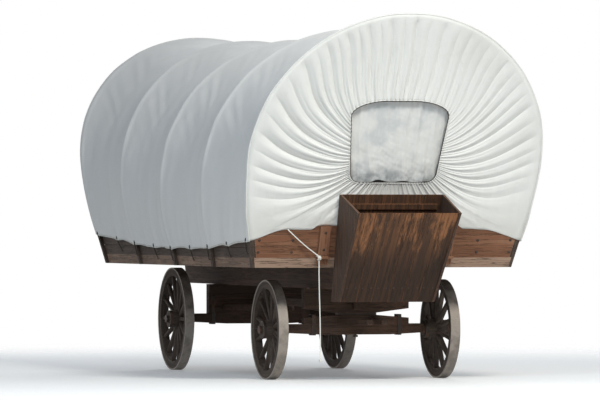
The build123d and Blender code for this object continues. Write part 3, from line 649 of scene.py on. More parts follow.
def opening_outline(count):
    """Points round the opening in the plane of the end: y, and length up the slope from the bed's
    underside. Straight sides that widen upwards, round corners below and a low arch above."""
    low, high = [(height - BED_BOTTOM) * END_SLOPE for height in (OPENING_BOTTOM, OPENING_TOP)]
    quarters = []
    for y, up, start, (wide, tall) in (
        (OPENING_HALF_BOTTOM, low, -90, OPENING_CORNERS[0]),
        (OPENING_HALF_TOP, high, 0, OPENING_CORNERS[1]),
        (-OPENING_HALF_TOP, high, 90, OPENING_CORNERS[1]),
        (-OPENING_HALF_BOTTOM, low, 180, OPENING_CORNERS[0]),
    ):
        turn = np.radians(start + np.linspace(0, 90, 30))
        centre_y = y - math.copysign(wide, y)
        centre_up = up + math.copysign(tall, high + low - 2 * up)
        quarters.append(np.stack([centre_y + wide * np.cos(turn), centre_up + tall * np.sin(turn)], -1))
    loop = np.concatenate(quarters + [quarters[0][:1]])
    steps = np.concatenate([[0], np.cumsum(np.linalg.norm(np.diff(loop, axis=0), axis=1))])
    even = np.linspace(0, steps[-1], count)
    return np.stack([np.interp(even, steps, column) for column in loop.T], -1)


def end_hem(y, half_foot, corner):
    """Height of an end wall's hem: a quick rise from the corners, then nearly level and over the posts."""
    out, from_corner = np.abs(y), half_foot - np.abs(y)
    level = corner + (END_HEM - corner) * smooth(from_corner, -0.05, 0.42)
    over_posts = (POST_TOP + 0.008 - END_HEM) * smooth(-out, -POST_HEM[1], -POST_HEM[0])
    wave = 0.006 * np.sin(9.5 * y + 0.6) * smooth(from_corner, 0, 0.2) * (out > POST_HEM[0])
    return level + over_posts + wave


def rim_outline(end):
    """Points round the end wall in its plane: over the arch of the end bow, then along the hem."""
    skin = settings("wagon_canvas").skin
    hem = float(hem_height(end))
    half_foot = side_face(hem) + STAKE_THICKNESS + skin
    across, up, *_ = arch(hem, END_RAKE, BOW_TOPS[0], skin, np.linspace(1, 0, 900))
    bottom = np.linspace(-half_foot, half_foot, 500)[1:-1]
    bottom_up = (end_hem(bottom, half_foot, hem) - BED_BOTTOM) * END_SLOPE
    return np.concatenate([np.stack([across, up], -1), np.stack([bottom, bottom_up], -1)])


def by_direction(loop, centre, angles):
    """Distance from a centre to a loop in given directions, for a loop that is seen whole from there."""
    offset = loop - centre
    direction = np.arctan2(offset[:, 1], offset[:, 0])
    order = np.argsort(direction)
    return np.interp(angles, direction[order], np.hypot(*offset.T)[order], period=2 * np.pi)


def end_wall_points(end, fan, depths):
    """An end wall as a surface of the pleats' place round the opening, from 0 to a whole turn, and of
    the depth from the rim to the drawstring. It lies between the rim and the opening, dished inwards
    above the gate. Its pleats are puffs |sin(pi n t)| at three spacings, n, n / 2 and n / 4: the finest
    at the drawstring and the widest at the rim. Above the hem they hang from the bow: a pleat's
    direction is its place less 0.52 (depth ** 1.5 - 0.35) cos(direction), found by repeated
    substitution. Upright folds hang beside them at the feet of the bow."""
    canvas = settings("wagon_canvas")
    seed = 31 if end > 0 else 47
    random = np.random.default_rng(seed)
    centre = np.array([0.0, (OPENING_MIDDLE - BED_BOTTOM) * END_SLOPE])
    turns = fan
    for _ in range(24):
        climb = 0.12 + 0.88 * smooth(np.sin(turns), -0.80, -0.25)
        turns = fan - 0.52 * (depths**1.5 - 0.35) * np.cos(turns) * climb
    inner = by_direction(opening_outline(600), centre, turns)
    outer = by_direction(rim_outline(end), centre, turns)
    reach = outer + (inner - outer) * depths
    wander = np.zeros_like(fan)
    for rate in range(1, 14):
        wander = wander + random.uniform(-1, 1) / rate * np.sin(rate * fan + random.uniform(0, 6.3))
    pleats = canvas.pleat_count * fan / (2 * np.pi) + 1.8 * wander + 0.20 * np.sin(6 * depths + 3 * turns)
    puff, wide_puff, widest_puff = [
        np.abs(np.sin(np.pi * (pleats / spacing + shift))) ** power - level
        for spacing, shift, power, level in ((1, 0.0, 0.75, 0.70), (2, 0.2, 0.75, 0.70), (4, 0.1, 0.8, 0.68))
    ]
    lively = 1 + 0.30 * np.cos(fan - 2.9) - 0.50 * np.exp(-(((fan - 0.85) / 0.36) ** 2))
    lively = lively * (1 + 0.22 * unevenness(fan, depths * 0.5, seed, 0.30))
    edge = smooth(depths, 0.035, 0.14)
    push = 0.85 * depths**1.5 * puff + 1.35 * edge * (4 * depths * (1 - depths)) ** 0.7 * wide_puff
    push = canvas.pleat_depth * lively * (push + 0.90 * edge * (1 - depths) ** 0.6 * widest_puff)
    droop = 0.05 * np.sin(np.pi * depths) * np.cos(turns) ** 2
    y = centre[0] + reach * np.cos(turns)
    foot = smooth(-np.sin(turns), -0.05, 0.30) * smooth(np.abs(np.cos(turns)), 0.45, 0.75)
    upright = creases(y, reach * 1.5, seed + 1, 3, 0.105)
    push = push * (1 - 0.5 * foot * (1 - depths)) + 0.012 * foot * edge * (1 - depths) ** 0.8 * upright
    up = centre[1] + reach * np.sin(turns) - droop
    height = BED_BOTTOM + up / END_SLOPE
    free = smooth(height, GATE_TOP + 0.02, 1.94)
    off_bow = np.clip((depths - 0.05) / 0.95, 0, 1)
    dish = canvas.end_dish * off_bow**0.8 + 0.020 * np.sin(np.pi * off_bow) * (0.8 + 0.2 * lively)
    held = np.clip(push, 0, 0.008) * 0.8
    x = end * (end_face(height) + 0.0045 + held * (1 - free) + (push - dish) * free)
    return xyz(x, y, height)


# Finishes


def canvas_finish(name, round_half=0.0, curtain_painted_shade=0.0):
    """Cotton duck: weave, mottled weather stains and dust above the hem. On the bonnet, half a hoop
    round, sewn seams and a band above the hem; on the curtain painted shade: grey-blue shadow patches
    and a darker lower edge."""
    canvas = settings("wagon_canvas")
    shader = Shader(bpy.data.materials.new(name), canvas.cloth)
    along, around = shader.marks()
    places = shader.places()
    _, _, height = shader.parts(places)
    broad = shader.noise(places, 0.9, 5)
    fine = shader.noise(places, 6.0, 6, 0.65)
    streaks = shader.noise(shader.stretched(places, (5.0, 5.0, 0.6)), 1.0, 5, 0.6)
    dirt = (1 - height.step(1.35, 2.0)) * (0.25 + streaks) * 0.45
    mottle = broad.step(0.48, 0.74) * 0.26 + fine.step(0.52, 0.82) * 0.14 + streaks.step(0.55, 0.8) * 0.10
    shader.coat(mottle + dirt, canvas.stain)
    weave = (along * 2100.0).sin() * (around * 2100.0).sin()
    relief = weave * 0.5 + fine * 1.2
    if round_half:
        seam_place = abs((along % canvas.strip_width) - canvas.strip_width / 2)
        lap = 1 - seam_place.step(0.009, 0.012)
        stitch = (1 - abs(seam_place - 0.0075).step(0.0008, 0.0020)) * (around * 900.0).sin().step(-0.2, 0.3)
        shader.coat(lap * 0.28, canvas.stain, 0.9)
        shader.coat(stitch * 0.6, canvas.thread)
        band = 1 - abs(abs(around - round_half) - (round_half - canvas.band_height)).step(0.005, 0.008)
        shader.coat(band * 0.25, canvas.stain, 0.9)
        relief = relief + lap * 3.0 + band * 2.0 - stitch * 1.2
    # Painted shade on the curtain: grey-blue patches of painted shadow, and painted shade along its lower
    # edge where the gap under it lies
    if curtain_painted_shade:
        patches = shader.noise(places, 3.6, 4, 0.55)
        low = 1 - height.step(2.02, 2.22)
        shader.coat(patches.step(0.44, 0.66) * curtain_painted_shade * 0.38, canvas.blotch)
        shader.coat(low * fine.step(0.36, 0.66) * curtain_painted_shade * 0.7, canvas.blotch, 0.35)
    links = {"Roughness": 0.84 + broad * 0.10, "Normal": shader.bump(relief, 0.0009, 0.5)}
    return shader.finish(links, {"Sheen Weight": 0.08, "Specular IOR Level": 0.18})


def timber_finish(
    name, dark, light, axis="X", worn=0.35, rows=None, patches=0.0, wheel=False, end_rails=0.0, lean=0.0
):
    """Weathered timber: long fibres and cracks along the grain, each board its own tone, worn wood on
    the edges and dust in the pores; with patches, streaky patches of painted light up high over painted
    shade lower down. On a wheel the grain runs along the spokes, round the rim or along the hub: the
    coordinates are then the distance from the axle, the y and the arc. Beyond end_rails the grain turns
    across and the wood is paler as painted light, and on leaning boards it follows the lean."""
    shader = Shader(bpy.data.materials.new(name), dark)
    places = shader.places()
    x, y, z = parts = shader.parts(places)
    if wheel:
        front = x.step(0.1, 0.3)
        across = x - (front * (FRONT_AXLE - REAR_AXLE) + REAR_AXLE)
        up = z - (REAR_RADIUS - front * (REAR_RADIUS - FRONT_RADIUS))
        far = (across * across + up * up) ** 0.5
        places = shader.vector(far, y, up.arctan2(across) * 0.5)
    if lean:
        places = shader.vector(abs(x) - z * lean, y, z)
    if end_rails:
        turned = abs(x).step(end_rails, end_rails + 0.004)
        places = shader.vector(x + (y - x) * turned, y + (x - y) * turned, z)
    scale = [26.0, 26.0, 26.0]
    scale["XYZ".index(axis)] = 1.1
    grain = shader.noise(shader.stretched(places, tuple(scale)), 1.0, 6, 0.62)
    fibre = shader.noise(shader.stretched(places, tuple(5.0 * size for size in scale)), 1.0, 3, 0.6)
    cloud = shader.noise(places, 1.7, 4, 0.6)
    blotch = shader.noise(places, 4.1, 6, 0.66)
    rounded, edge = shader.edges(0.007)
    cracks = 1 - abs(grain - 0.5).step(0.004, 0.022)
    shader.coat(grain.step(0.30, 0.72) * 0.55 + fibre * 0.15, light, 0.62)
    shader.coat(cloud.step(0.50, 0.72) * worn, light)
    # Painted light: the end rails are made paler than the side rails, like a lit copy of the same wood
    if end_rails:
        shader.coat(turned * (0.15 + fibre * 0.7), light, 1.1)
    if rows:
        row_axis, start, pitch = rows
        board = ((parts["XYZ".index(row_axis)] - start) / pitch).floor()
        shade = shader.node("ShaderNodeTexWhiteNoise", {"noise_dimensions": "1D"}, {"W": board}, "Value")
        shader.coat(shade * 0.42, dark, 0.55)
    # Painted light and shade: streaky light patches gathered up high stand for sunlight, and the lower part
    # is darkened as painted shade
    if patches:
        streak = shader.noise(shader.stretched(places, (3.4, 6.0, 1.9)), 1.0, 7, 0.72)
        high = z.step(1.10, 1.46)
        painted_light_streaks = (streak + high * 0.10).step(0.56, 0.68) * (0.35 + fibre * 0.9) * (0.06 + high * 0.94) * patches
        shader.coat((1 - high) * 0.7, dark, 0.62)
        shader.coat(painted_light_streaks, light, 1.15)
    _, _, upward = shader.parts(shader.node("ShaderNodeNewGeometry", output="Normal"))
    shader.coat(upward.step(0.75, 0.98) * (0.25 + grain * 0.4), light, 1.2)
    shader.coat(edge * (0.20 + blotch * 0.8), light, 1.2)
    shader.coat(cracks * 0.7, dark, 0.30)
    normal = shader.bump(grain * 0.7 + fibre * 0.35 - cracks * 0.8, 0.0022, 0.75, Normal=rounded)
    return shader.finish({"Roughness": 0.66 + fibre * 0.22, "Normal": normal}, {"Specular IOR Level": 0.28})


def iron_finish(name, base, worn_tone, rust_share=0.5, tread=0.0):
    """Forged iron: dark scale with rust blooms, pitting and rubbed edges."""
    metal = settings("wagon_metal")
    shader = Shader(bpy.data.materials.new(name), base)
    places = shader.places()
    bloom = shader.noise(places, 7.0, 6, 0.7)
    pits = shader.noise(places, 70.0, 4, 0.6)
    rounded, edge = shader.edges(0.004)
    rust = bloom.step(0.42, 0.66) * rust_share
    shader.coat(rust, metal.rust)
    if tread:
        shader.coat((0.55 + bloom.step(0.34, 0.60) * 0.45) * tread, metal.tread)
    shader.coat(edge * 0.6, worn_tone)
    normal = shader.bump(pits + bloom * 1.5, 0.0009, 0.6, Normal=rounded)
    metallic = (1 - rust).step(0.3, 1.0) * 0.6
    rough = 0.48 + rust * 0.5 + pits * 0.12
    return shader.finish({"Roughness": rough, "Metallic": metallic, "Normal": normal}, {})


def rope_finish(name, base):
    """Rope or cord: fine yarns that cross the strands, painted shade in the grooves, with grime."""
    shader = Shader(bpy.data.materials.new(name), base)
    along, around = shader.marks()
    places = shader.places()
    fuzz = shader.noise(places, 120.0, 3)
    yarns = (along * 1500.0 - around * 1800.0).sin() * 0.5 + 0.5
    grime = shader.noise(places, 14.0, 5)
    shader.coat(grime.step(0.45, 0.8) * 0.45, base, 0.55)
    # Painted shade in the grooves between the yarns
    shader.coat((1 - yarns) * 0.3, base, 0.5)
    normal = shader.bump(yarns + fuzz * 0.7, 0.0006, 0.7)
    return shader.finish({"Roughness": 0.84 + fuzz * 0.1, "Normal": normal}, {"Specular IOR Level": 0.15})


def finish_for(name, make, *values, **options):
    """The material of that name, made once."""
    return bpy.data.materials.get(name) or make(name, *values, **options)


def cover(material, nodes):
    """Gives nodes of the solid frame their finish."""
    for node in nodes:
        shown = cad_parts[node]
        shown.data.materials.clear()
        shown.data.materials.append(material)


def on_wheels(part):
    """That part's node on each wheel."""
    return [f"{part}_{name}" for name, *_ in WHEELS]


def iron():
    """The finish of the small ironwork."""
    metal = settings("wagon_metal")
    return finish_for("forged iron", iron_finish, metal.iron, metal.tread, 0.55)


def painted_shade_cord():
    """The finish of the drawstrings and lashings, a dark cord as painted shade."""
    return finish_for("tarred cord", rope_finish, settings("wagon_metal").tarred)


def trim_cloth():
    """The finish of hems and end walls."""
    return finish_for("canvas trim", canvas_finish)


# Pieces


class WAGON_OT_timber(bpy.types.Operator):
    """Weathered finishes for the boards, bows, driver's box, running gear and wheels"""

    bl_idname = "wagon.timber"
    bl_label = "Timber finishes"

    def execute(self, context):
        wood = settings("wagon_timber")
        across = ["cross_bearers", "sand_board", "sway_bar"]
        across += [f"{end}_{part}" for end in ("front", "rear") for part in ("axle", "bolster")]
        boards = {"axis": "Z", "worn": 0.15}
        for name, tone, nodes, options in (
            ("side", "side", ["side_boards_left", "side_boards_right"], {"rows": SIDE_ROWS}),
            ("stake", "side", ["side_stakes"], {"axis": "Z", "worn": 0.5}),
            ("frame", "gear", ["main_sills", "reach", "rear_hounds", "front_hounds"], {"worn": 0.3}),
            ("rail", "rail", ["bed_frame"], {"worn": 0.5, "end_rails": 2.77}),
            ("cross", "gear", across, {"axis": "Y", "worn": 0.4}),
            ("floor", "gear", ["floor_boards"], {"rows": FLOOR_ROWS}),
            ("gate", "gate", ["front_gate", "rear_gate"], {"axis": "Y", "worn": 0.5, "rows": GATE_ROWS}),
            ("post", "gate", ["gate_posts"], {"axis": "Z", "worn": 0.6, "lean": 0.4}),
            ("bow", "bow", ["bows"], {"axis": "Y", "worn": 0.4}),
            # The box front's patches are painted light up high and painted shade lower down
            ("box", "box", ["box_front"], {**boards, "rows": BOX_FRONT_ROWS, "patches": 0.9, "lean": 0.84}),
            ("box back", "box", ["box_back"], {**boards, "rows": BOX_BACK_ROWS, "lean": 0.4}),
            # Painted shade: the box's sides take the gear's colours, little wear and no light patches, so
            # they stay darker than its front
            ("box side", "gear", ["box_sides"], {"axis": "Z", "worn": 0.12}),
            ("box seat", "box", ["box_floor", "box_seat"], {"axis": "Y", "worn": 0.3}),
            ("spoke", "wheel", on_wheels("spokes"), {"wheel": True}),
            ("felloe", "wheel", on_wheels("felloes"), {"axis": "Z", "worn": 0.45, "wheel": True}),
            ("hub", "wheel", on_wheels("hub"), {"axis": "Y", "wheel": True}),
        ):
            dark, light = getattr(wood, tone), getattr(wood, f"{tone}_light")
            cover(finish_for(f"{name} timber", timber_finish, dark, light, **options), nodes)
        return {"FINISHED"}


class WAGON_OT_iron(bpy.types.Operator):
    """Forged iron for the tyres, spindles, king pin and rub plate"""

    bl_idname = "wagon.iron"
    bl_label = "Iron finishes"

    def execute(self, context):
        metal = settings("wagon_metal")
        cover(iron(), ["front_spindles", "rear_spindles", "king_pin", "rub_plate"])
        tyre = finish_for("tyre iron", iron_finish, metal.iron, metal.tread, 0.5, tread=0.85)
        cover(tyre, on_wheels("tyre"))
        return {"FINISHED"}


class WAGON_OT_bonnet(bpy.types.Operator):
    """Canvas over the bows, with its rolled hems and the piping at its ends"""

    bl_idname = "wagon.bonnet"
    bl_label = "Bonnet"

    def execute(self, context):
        canvas = settings("wagon_canvas")
        share, around = table(bay_samples(54), np.linspace(0, 1, 206))
        points, whole = bonnet_points(share, around)
        mesh = surface("bonnet_canvas", points, np.stack([share * HALF_LENGTH, around * whole], -1))
        cloth = piece(mesh, finish_for("canvas", canvas_finish, float(whole.mean()) / 2))
        thicken(cloth, canvas.cloth_thickness)
        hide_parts("bonnet")

        sides, fine = table((0.0, 1.0), np.linspace(-1, 1, 640))
        line, _ = bonnet_points(fine, sides)
        hems = piece(tube("bonnet_hems", line + (0, 0, 0.004), 0.008, 10, UPWARDS), trim_cloth())
        ends, ring = table((-1.0, 1.0), np.linspace(0, 1, 420))
        line, _ = bonnet_points(ends, ring, 0.004)
        trims = [hems, piece(tube("bonnet_piping", line, 0.0075, 10, ALONG), trim_cloth())]
        return {"FINISHED"}


class WAGON_OT_end_walls(bpy.types.Operator):
    """The gathered end walls with the casings and cords of their drawstrings"""

    bl_idname = "wagon.end_walls"
    bl_label = "End walls"

    def execute(self, context):
        canvas = settings("wagon_canvas")
        radius = settings("wagon_metal").cord_radius
        turns = round_angles(1340)
        depths = np.linspace(0, 1, 33) ** 0.85
        turn, depth = table(turns, depths)
        marks = np.stack(table(np.append(turns, 2 * np.pi), depths), -1)
        for end, name in ((1, "front"), (-1, "rear")):
            points = end_wall_points(end, turn, depth)
            facing = slice(None, None, end)
            mesh = surface(f"{name}_end_canvas", points[:, facing], marks[:, facing], True)
            wall = piece(mesh, trim_cloth())
            thicken(wall, canvas.cloth_thickness)
            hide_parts(f"bonnet_{name}_end")
            edge = end_wall_points(end, turns, np.ones_like(turns))
            middle = np.array((end * (end_face(OPENING_MIDDLE) - 0.03), 0.0, OPENING_MIDDLE))
            inwards = unit((middle - edge) * (0, 1, 1))
            pucker = 0.0065 * (1 + 0.2 * np.cos(canvas.pleat_count * turns))
            casing = tube(f"{name}_drawstring_casing", edge, pucker, 10, end * ALONG, True)
            casing = piece(casing, trim_cloth())
            # The drawstring is dark as painted shade: it draws the shadow line round the opening
            string = edge + inwards * 0.009 + end * 0.003 * ALONG
            string = tube(f"{name}_drawstring", string, radius, 8, end * ALONG, True, 180.0)
            piece(string, painted_shade_cord())
        return {"FINISHED"}


class WAGON_OT_curtain(bpy.types.Operator):
    """The curtain that closes the front opening from inside"""

    bl_idname = "wagon.curtain"
    bl_label = "Curtain"

    def execute(self, context):
        canvas = settings("wagon_canvas")
        foot, head = CURTAIN_HEIGHTS
        share, up = table(np.linspace(-1, 1, 190), np.linspace(0, 1, 120))
        low = foot + 0.020 * unevenness(share * 0.6, 0 * share, 3, 0.36) + 0.012 * np.cos(np.pi * share)
        height = low + (head - low) * up
        y = share * np.interp(up, (0, 1), CURTAIN_HALF_WIDTHS)
        folds = creases(share * 0.6 + 0.10 * up, up * 2.2, 71, 3, 0.15) * 0.015
        rumple = 0.004 * unevenness(share * 0.55, up * 0.85, 13, 0.24, 9)
        rumple = rumple + 0.0015 * unevenness(share, up * 1.6, 17, 0.11)
        x = end_face(height) - canvas.end_dish - CURTAIN_BEHIND + folds + rumple * (1.1 - up)
        points = xyz(x - 0.014 * np.sin(np.pi * up), y, height)
        mesh = surface("front_curtain_cloth", points, points[..., 1:])
        # 1.0 gives the curtain its painted shade
        cloth = piece(mesh, finish_for("curtain cloth", canvas_finish, 0.0, 1.0))
        thicken(cloth, 0.002)
        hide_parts("front_curtain")
        return {"FINISHED"}


class WAGON_OT_ropes(bpy.types.Operator):
    """The rope that ties down the front end, its turns on the cleat, its hanging tail and the knot"""

    bl_idname = "wagon.ropes"
    bl_label = "Ropes"

    def execute(self, context):
        metal = settings("wagon_metal")
        rope = finish_for("rope", rope_finish, metal.rope)
        radius = metal.rope_radius
        curve = bpy.data.curves.new("rope_route", "CURVE")
        curve.dimensions = "3D"
        spline = curve.splines.new("NURBS")
        spline.points.add(len(ROPE_TAIL_ROUTE) - 1)
        spline.points.foreach_set("co", [value for spot in ROPE_TAIL_ROUTE for value in (*spot, 1.0)])
        spline.order_u = 3
        spline.use_endpoint_u = True
        spline.resolution_u = 48
        route = linked("rope_route", curve)
        line = bpy.data.meshes.new_from_object(route)
        path = np.zeros(len(line.vertices) * 3)
        line.vertices.foreach_get("co", path)
        path = path.reshape(-1, 3)
        bpy.data.objects.remove(route)
        bpy.data.meshes.remove(line)
        tail = piece(tube("rope_tail_strands", path, radius, 18, ALONG, False, 110.0), rope)
        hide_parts("rope_tail")

        turn = round_angles(120)
        swing = 0.0085 * (1 + 0.4 * np.cos(3 * turn))
        knot = xyz(swing * np.cos(2 * turn), swing * np.sin(2 * turn), 0.010 + 0.009 * np.sin(3 * turn))
        knot = tube("rope_tail_knot", knot + ROPE_TAIL_ROUTE[-1], radius * 0.95, 12, UPWARDS, True, 90.0)
        knot = piece(knot, rope)

        deep, tall = [half + radius for half in CLEAT_HALF]
        share = np.linspace(0, 1, 90)[:, None]
        tie_y, tie_height = END_TIE
        eyelet = np.array((end_face(tie_height) + 0.016, tie_y, tie_height))
        cleat = np.array((CLEAT_FACE + 0.020, CLEAT_Y - 0.006, CLEAT_HEIGHT + tall))
        taut = eyelet + (cleat - eyelet) * share - 0.012 * UPWARDS * np.sin(np.pi * share)
        piece(tube("end_tie_rope", taut, radius, 14, ALONG, False, 110.0), rope)
        sweep = np.linspace(-0.12, 1.12, 48) * np.pi
        bend = xyz(deep * np.abs(np.sin(sweep)) ** 0.6 * np.sign(np.sin(sweep)), 0, tall * np.cos(sweep))
        starts = xyz(CLEAT_FACE, CLEAT_Y + np.array((-0.012, 0.0, 0.012)), CLEAT_HEIGHT)
        lean = 0.010 * ACROSS * np.linspace(-0.5, 0.5, 48)[:, None]
        turns = starts[:, None] + bend + lean
        piece(tube("cleat_turns", turns, radius, 12, ACROSS, False, 110.0), rope)
        return {"FINISHED"}


class WAGON_OT_lashings(bpy.types.Operator):
    """Eyelets in the side hems, hooks below them and the cords between"""

    bl_idname = "wagon.lashings"
    bl_label = "Hem lashings"

    def execute(self, context):
        share, side = grid_of(np.linspace(-0.97, 0.97, 9), (-1.0, 1.0))
        _, whole = bonnet_points(share, np.zeros_like(share))
        tie = EYELET_RISE / whole
        spot, above = [bonnet_points(share, np.where(side < 0, up, 1 - up))[0] for up in (tie, 2 * tie)]
        upward = unit(above - spot)
        sideways = xyz(0, side, 0)
        outward = unit(np.cross(ALONG, upward)) * -side[:, None]
        outward = outward * np.sign(np.sum(outward * sideways, -1))[:, None]
        turn = round_angles(28)[:, None]
        ring = spot[:, None] + 0.002 * outward[:, None]
        ring = ring + 0.012 * (np.cos(turn) * ALONG + np.sin(turn) * upward[:, None])
        piece(tube("hem_eyelets", ring, 0.0032, 8, outward[:, None], True), iron())

        low = spot[:, 2] - HOOK_DROP
        on_stake = np.abs(np.mod(share * 2 + 0.5, 1.0) - 0.5) < 0.08
        x = spot[:, 0] - HOOK_DROP * np.interp(share, BOW_SHARES, BOW_LEANS)
        base = xyz(x, side * (side_face(low) + STAKE_THICKNESS * on_stake), low)
        bend = np.linspace(0, 1.9, 14)[1:]
        out = np.concatenate([[-0.004, 0.006], 0.006 + 0.012 * np.sin(bend)])
        rise = np.concatenate([[0, 0], 0.012 * (1 - np.cos(bend))])
        hook = base[:, None] + out[:, None] * sideways[:, None] + rise[:, None] * UPWARDS
        piece(tube("hem_hooks", hook, 0.004, 8, ALONG), iron())

        foot = base + 0.012 * sideways - 0.002 * UPWARDS
        head = spot + 0.007 * outward
        middle, half = (foot + head) / 2, (head - foot) / 2
        loop = middle[:, None] + np.sin(turn) * half[:, None] + 0.009 * np.cos(turn) * ALONG
        radius = settings("wagon_metal").cord_radius * 0.8
        # The lashings' dark cord is painted shade along the hem
        piece(tube("hem_lashings", loop, radius, 8, sideways[:, None], True, 200.0), painted_shade_cord())
        return {"FINISHED"}


class WAGON_OT_fastenings(bpy.types.Operator):
    """Bolt heads, nails, hub bands, felloe nuts and the straps round the axles"""

    bl_idname = "wagon.fastenings"
    bl_label = "Fastenings"

    def execute(self, context):
        metal = settings("wagon_metal")
        share, side, height = grid_of(BOW_SHARES, (-1.0, 1.0), (1.185, 1.300, 1.395))
        x = share * STAKE_END + np.interp(share, BOW_SHARES, BOW_LEANS) * (height - BED_BOTTOM)
        bolts = [(xyz(x, side * (side_face(height) + STAKE_THICKNESS), height), xyz(0, side, -SIDE_FLARE))]
        for places, heights, proud in (
            ((-1.33, -0.98, 0.98, 1.33), (1.305, 1.425), 0.0),
            ((-POST_OFFSET, POST_OFFSET), (1.330, 1.500), POST_THICKNESS),
        ):
            end, y, height = grid_of((-1.0, 1.0), places, heights)
            bolts.append((xyz(end * (end_face(height) + proud), y, height), xyz(end, 0, -END_RAKE)))
        piece(studs("bed_bolts", bolts, metal.bolt_radius, 0.006), iron())

        board, offset, height = grid_of(np.arange(6) - 2.5, (-0.045, 0.045), (0.945, 1.608))
        y = board * (box_side(height) - 0.022) / 3 + offset
        nails = [(xyz(box_front(height), y, height), xyz(1, 0 * y, -BOX_LEAN))]
        for face, inset, top, count in ((box_front, -0.014, 1.64, 7), (end_face, 0.027, 1.83, 8)):
            side, height = grid_of((-1.0, 1.0), np.linspace(0.86, top, count))
            spots = xyz(face(height) + inset, side * box_side(height), height)
            nails.append((spots, xyz(0, side, -BOX_FLARE)))
        piece(studs("box_nails", nails, metal.nail_radius, 0.0025), iron())

        turn = np.radians(np.concatenate([start + np.linspace(0, 90, 7) for start in (0, 90, 180, 270)]))
        outward = xyz(np.cos(turn), 0, np.sin(turn))
        for name, nodes, offset, body in (
            ("front_axle_straps", ("front_axle", "sand_board"), 0.46, "front_gear"),
            ("rear_axle_straps", ("rear_axle",), 0.51, "root"),
        ):
            low = np.min([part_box(node)[0] for node in nodes], 0)
            high = np.max([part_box(node)[1] for node in nodes], 0)
            top = high[2] if body == "front_gear" else REAR_STRAP_TOP
            corners = xyz((high[0], low[0], low[0], high[0]), 0, (top, top, low[2], low[2]))
            path = np.repeat(corners, 7, 0) + 0.001 * outward + xyz(0, (-offset, offset), 0)[:, None]
            piece(hoops(name, path, outward, metal.strap_width / 2, 0.005), iron(), body)

        turn = round_angles(48)
        outward = xyz(np.cos(turn), 0, np.sin(turn))
        inner, outer = HUB_BAND_WIDTH / 2 - HUB_INNER, HUB_OUTER - HUB_BAND_WIDTH / 2
        for name, x, side, radius, count in WHEELS:
            centres = xyz(x, side * (HALF_TRACK + np.array((inner, outer))), radius)
            path = centres[:, None] + HUB_END_RADIUS * outward
            bands = hoops(f"hub_bands_{name}", path, outward, HUB_BAND_WIDTH / 2 + 0.001, 0.006)
            piece(bands, iron(), f"wheel_{name}")
            joints = np.arange(count // 2) * 4 * np.pi / count
            joint, beside, row = grid_of(joints, (-0.085, 0.085), (-0.024, 0.024))
            angle = joint + beside
            inwards = xyz(side * np.cos(angle), 0, -np.sin(angle))
            spots = xyz(x, side * HALF_TRACK + row, radius) - (radius - FELLOE_INNER) * inwards
            nuts = studs(f"felloe_nuts_{name}", [(spots, inwards)], 0.009, 0.008)
            piece(nuts, iron(), f"wheel_{name}")
        return {"FINISHED"}


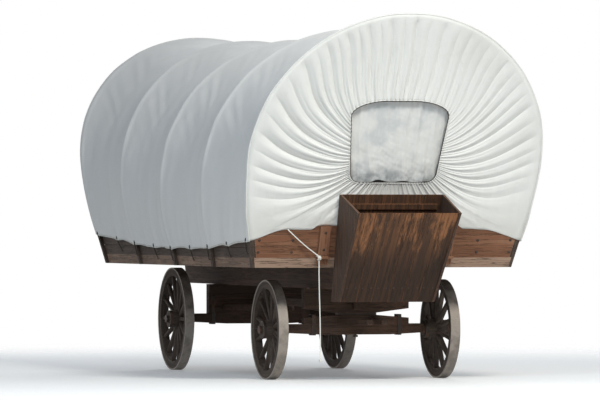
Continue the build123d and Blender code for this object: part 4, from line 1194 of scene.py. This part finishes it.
class WAGON_OT_stage(bpy.types.Operator):
    """Pale floor, white background, soft studio light and the camera at the photograph's angle"""

    bl_idname = "wagon.stage"
    bl_label = "Stage"

    def execute(self, context):
        stage = settings("wagon_stage")
        shader = Shader(bpy.data.materials.new("stage"), stage.floor)
        x, y, _ = shader.parts(shader.places())
        far = (x * x + y * y) ** 0.5
        grain = shader.noise(shader.places(), 0.6, 3)
        shader.coat(grain * 0.12, stage.floor, 0.9)
        glow = shader.mix(shader.seen() * 0.16, (0, 0, 0, 1), (1, 1, 1, 1))
        links = {"Alpha": 1 - far.step(5.0, 13.0), "Emission Color": glow}
        shader.finish(links, {"Roughness": 0.9, "Specular IOR Level": 0.1, "Emission Strength": 1.0})
        floor = bpy.data.meshes.new("stage_floor")
        floor.from_pydata(FLOOR_HALF * xyz((-1, 1, 1, -1), (-1, -1, 1, 1), 0), [], [(0, 1, 2, 3)])
        floor.materials.append(shader.block)
        linked("stage_floor", floor)

        sky = Shader(bpy.data.worlds.new("studio"), stage.sky)
        sky.coat(sky.seen(), (1, 1, 1))
        context.scene.world = sky.finish({}, {}, "Background", "Color")

        for name, (x, y, z), size, power, tint in LAMPS:
            lamp = bpy.data.lights.new(name, "AREA")
            lamp.size = size
            lamp.energy = power
            lamp.color = tint
            shown = linked(name, lamp)
            shown.location = (x, y, z)
            tilt = math.atan2(math.hypot(x, y), z - LAMP_AIM)
            shown.rotation_euler = (tilt, 0.0, math.atan2(-y, -x) - math.pi / 2)

        lens = bpy.data.cameras.new("camera")
        lens.lens = stage.lens
        lens.sensor_width = 36.0
        lens.clip_start = 1.0
        lens.clip_end = 400.0
        camera = linked("camera", lens)
        camera.location = (
            stage.distance * math.sin(stage.azimuth),
            -stage.distance * math.cos(stage.azimuth),
            stage.eye_height,
        )
        pitch = math.atan2(stage.aim_height - stage.eye_height, stage.distance)
        camera.rotation_euler = (math.pi / 2 + pitch, 0.0, stage.azimuth)
        context.scene.camera = camera
        context.scene.view_settings.view_transform = "Standard"
        return {"FINISHED"}


class WAGON_PT_pieces(bpy.types.Panel):
    """Lists the wagon's operators and settings."""

    bl_label = "Covered Wagon"
    bl_idname = "WAGON_PT_pieces"
    bl_space_type = "VIEW_3D"
    bl_region_type = "UI"
    bl_category = "Wagon"

    def draw(self, context):
        for operator in OPERATORS:
            self.layout.operator(operator.bl_idname)
        for name in SETTINGS:
            group = getattr(context.scene, name)
            for key in group.bl_rna.properties.keys():
                if key not in ("rna_type", "name"):
                    self.layout.prop(group, key)


SETTINGS = {
    "wagon_canvas": WagonCanvasSettings,
    "wagon_timber": WagonTimberSettings,
    "wagon_metal": WagonMetalSettings,
    "wagon_stage": WagonStageSettings,
}
OPERATORS = (
    WAGON_OT_timber,
    WAGON_OT_iron,
    WAGON_OT_bonnet,
    WAGON_OT_end_walls,
    WAGON_OT_curtain,
    WAGON_OT_ropes,
    WAGON_OT_lashings,
    WAGON_OT_fastenings,
    WAGON_OT_stage,
)


def register():
    """Registers the classes and the scene's settings."""
    for name, group in SETTINGS.items():
        bpy.utils.register_class(group)
        setattr(bpy.types.Scene, name, bpy.props.PointerProperty(type=group))
    for operator in OPERATORS:
        bpy.utils.register_class(operator)
    bpy.utils.register_class(WAGON_PT_pieces)


def unregister():
    """Takes the classes and settings out again."""
    bpy.utils.unregister_class(WAGON_PT_pieces)
    for operator in reversed(OPERATORS):
        bpy.utils.unregister_class(operator)
    for name, group in SETTINGS.items():
        delattr(bpy.types.Scene, name)
        bpy.utils.unregister_class(group)


def main():
    """Builds the looks in order."""
    register()
    bpy.ops.wagon.timber()
    bpy.ops.wagon.iron()
    bpy.ops.wagon.bonnet()
    bpy.ops.wagon.end_walls()
    bpy.ops.wagon.curtain()
    bpy.ops.wagon.ropes()
    bpy.ops.wagon.lashings()
    bpy.ops.wagon.fastenings()
    bpy.ops.wagon.stage()


if __name__ == "__main__":
    main()
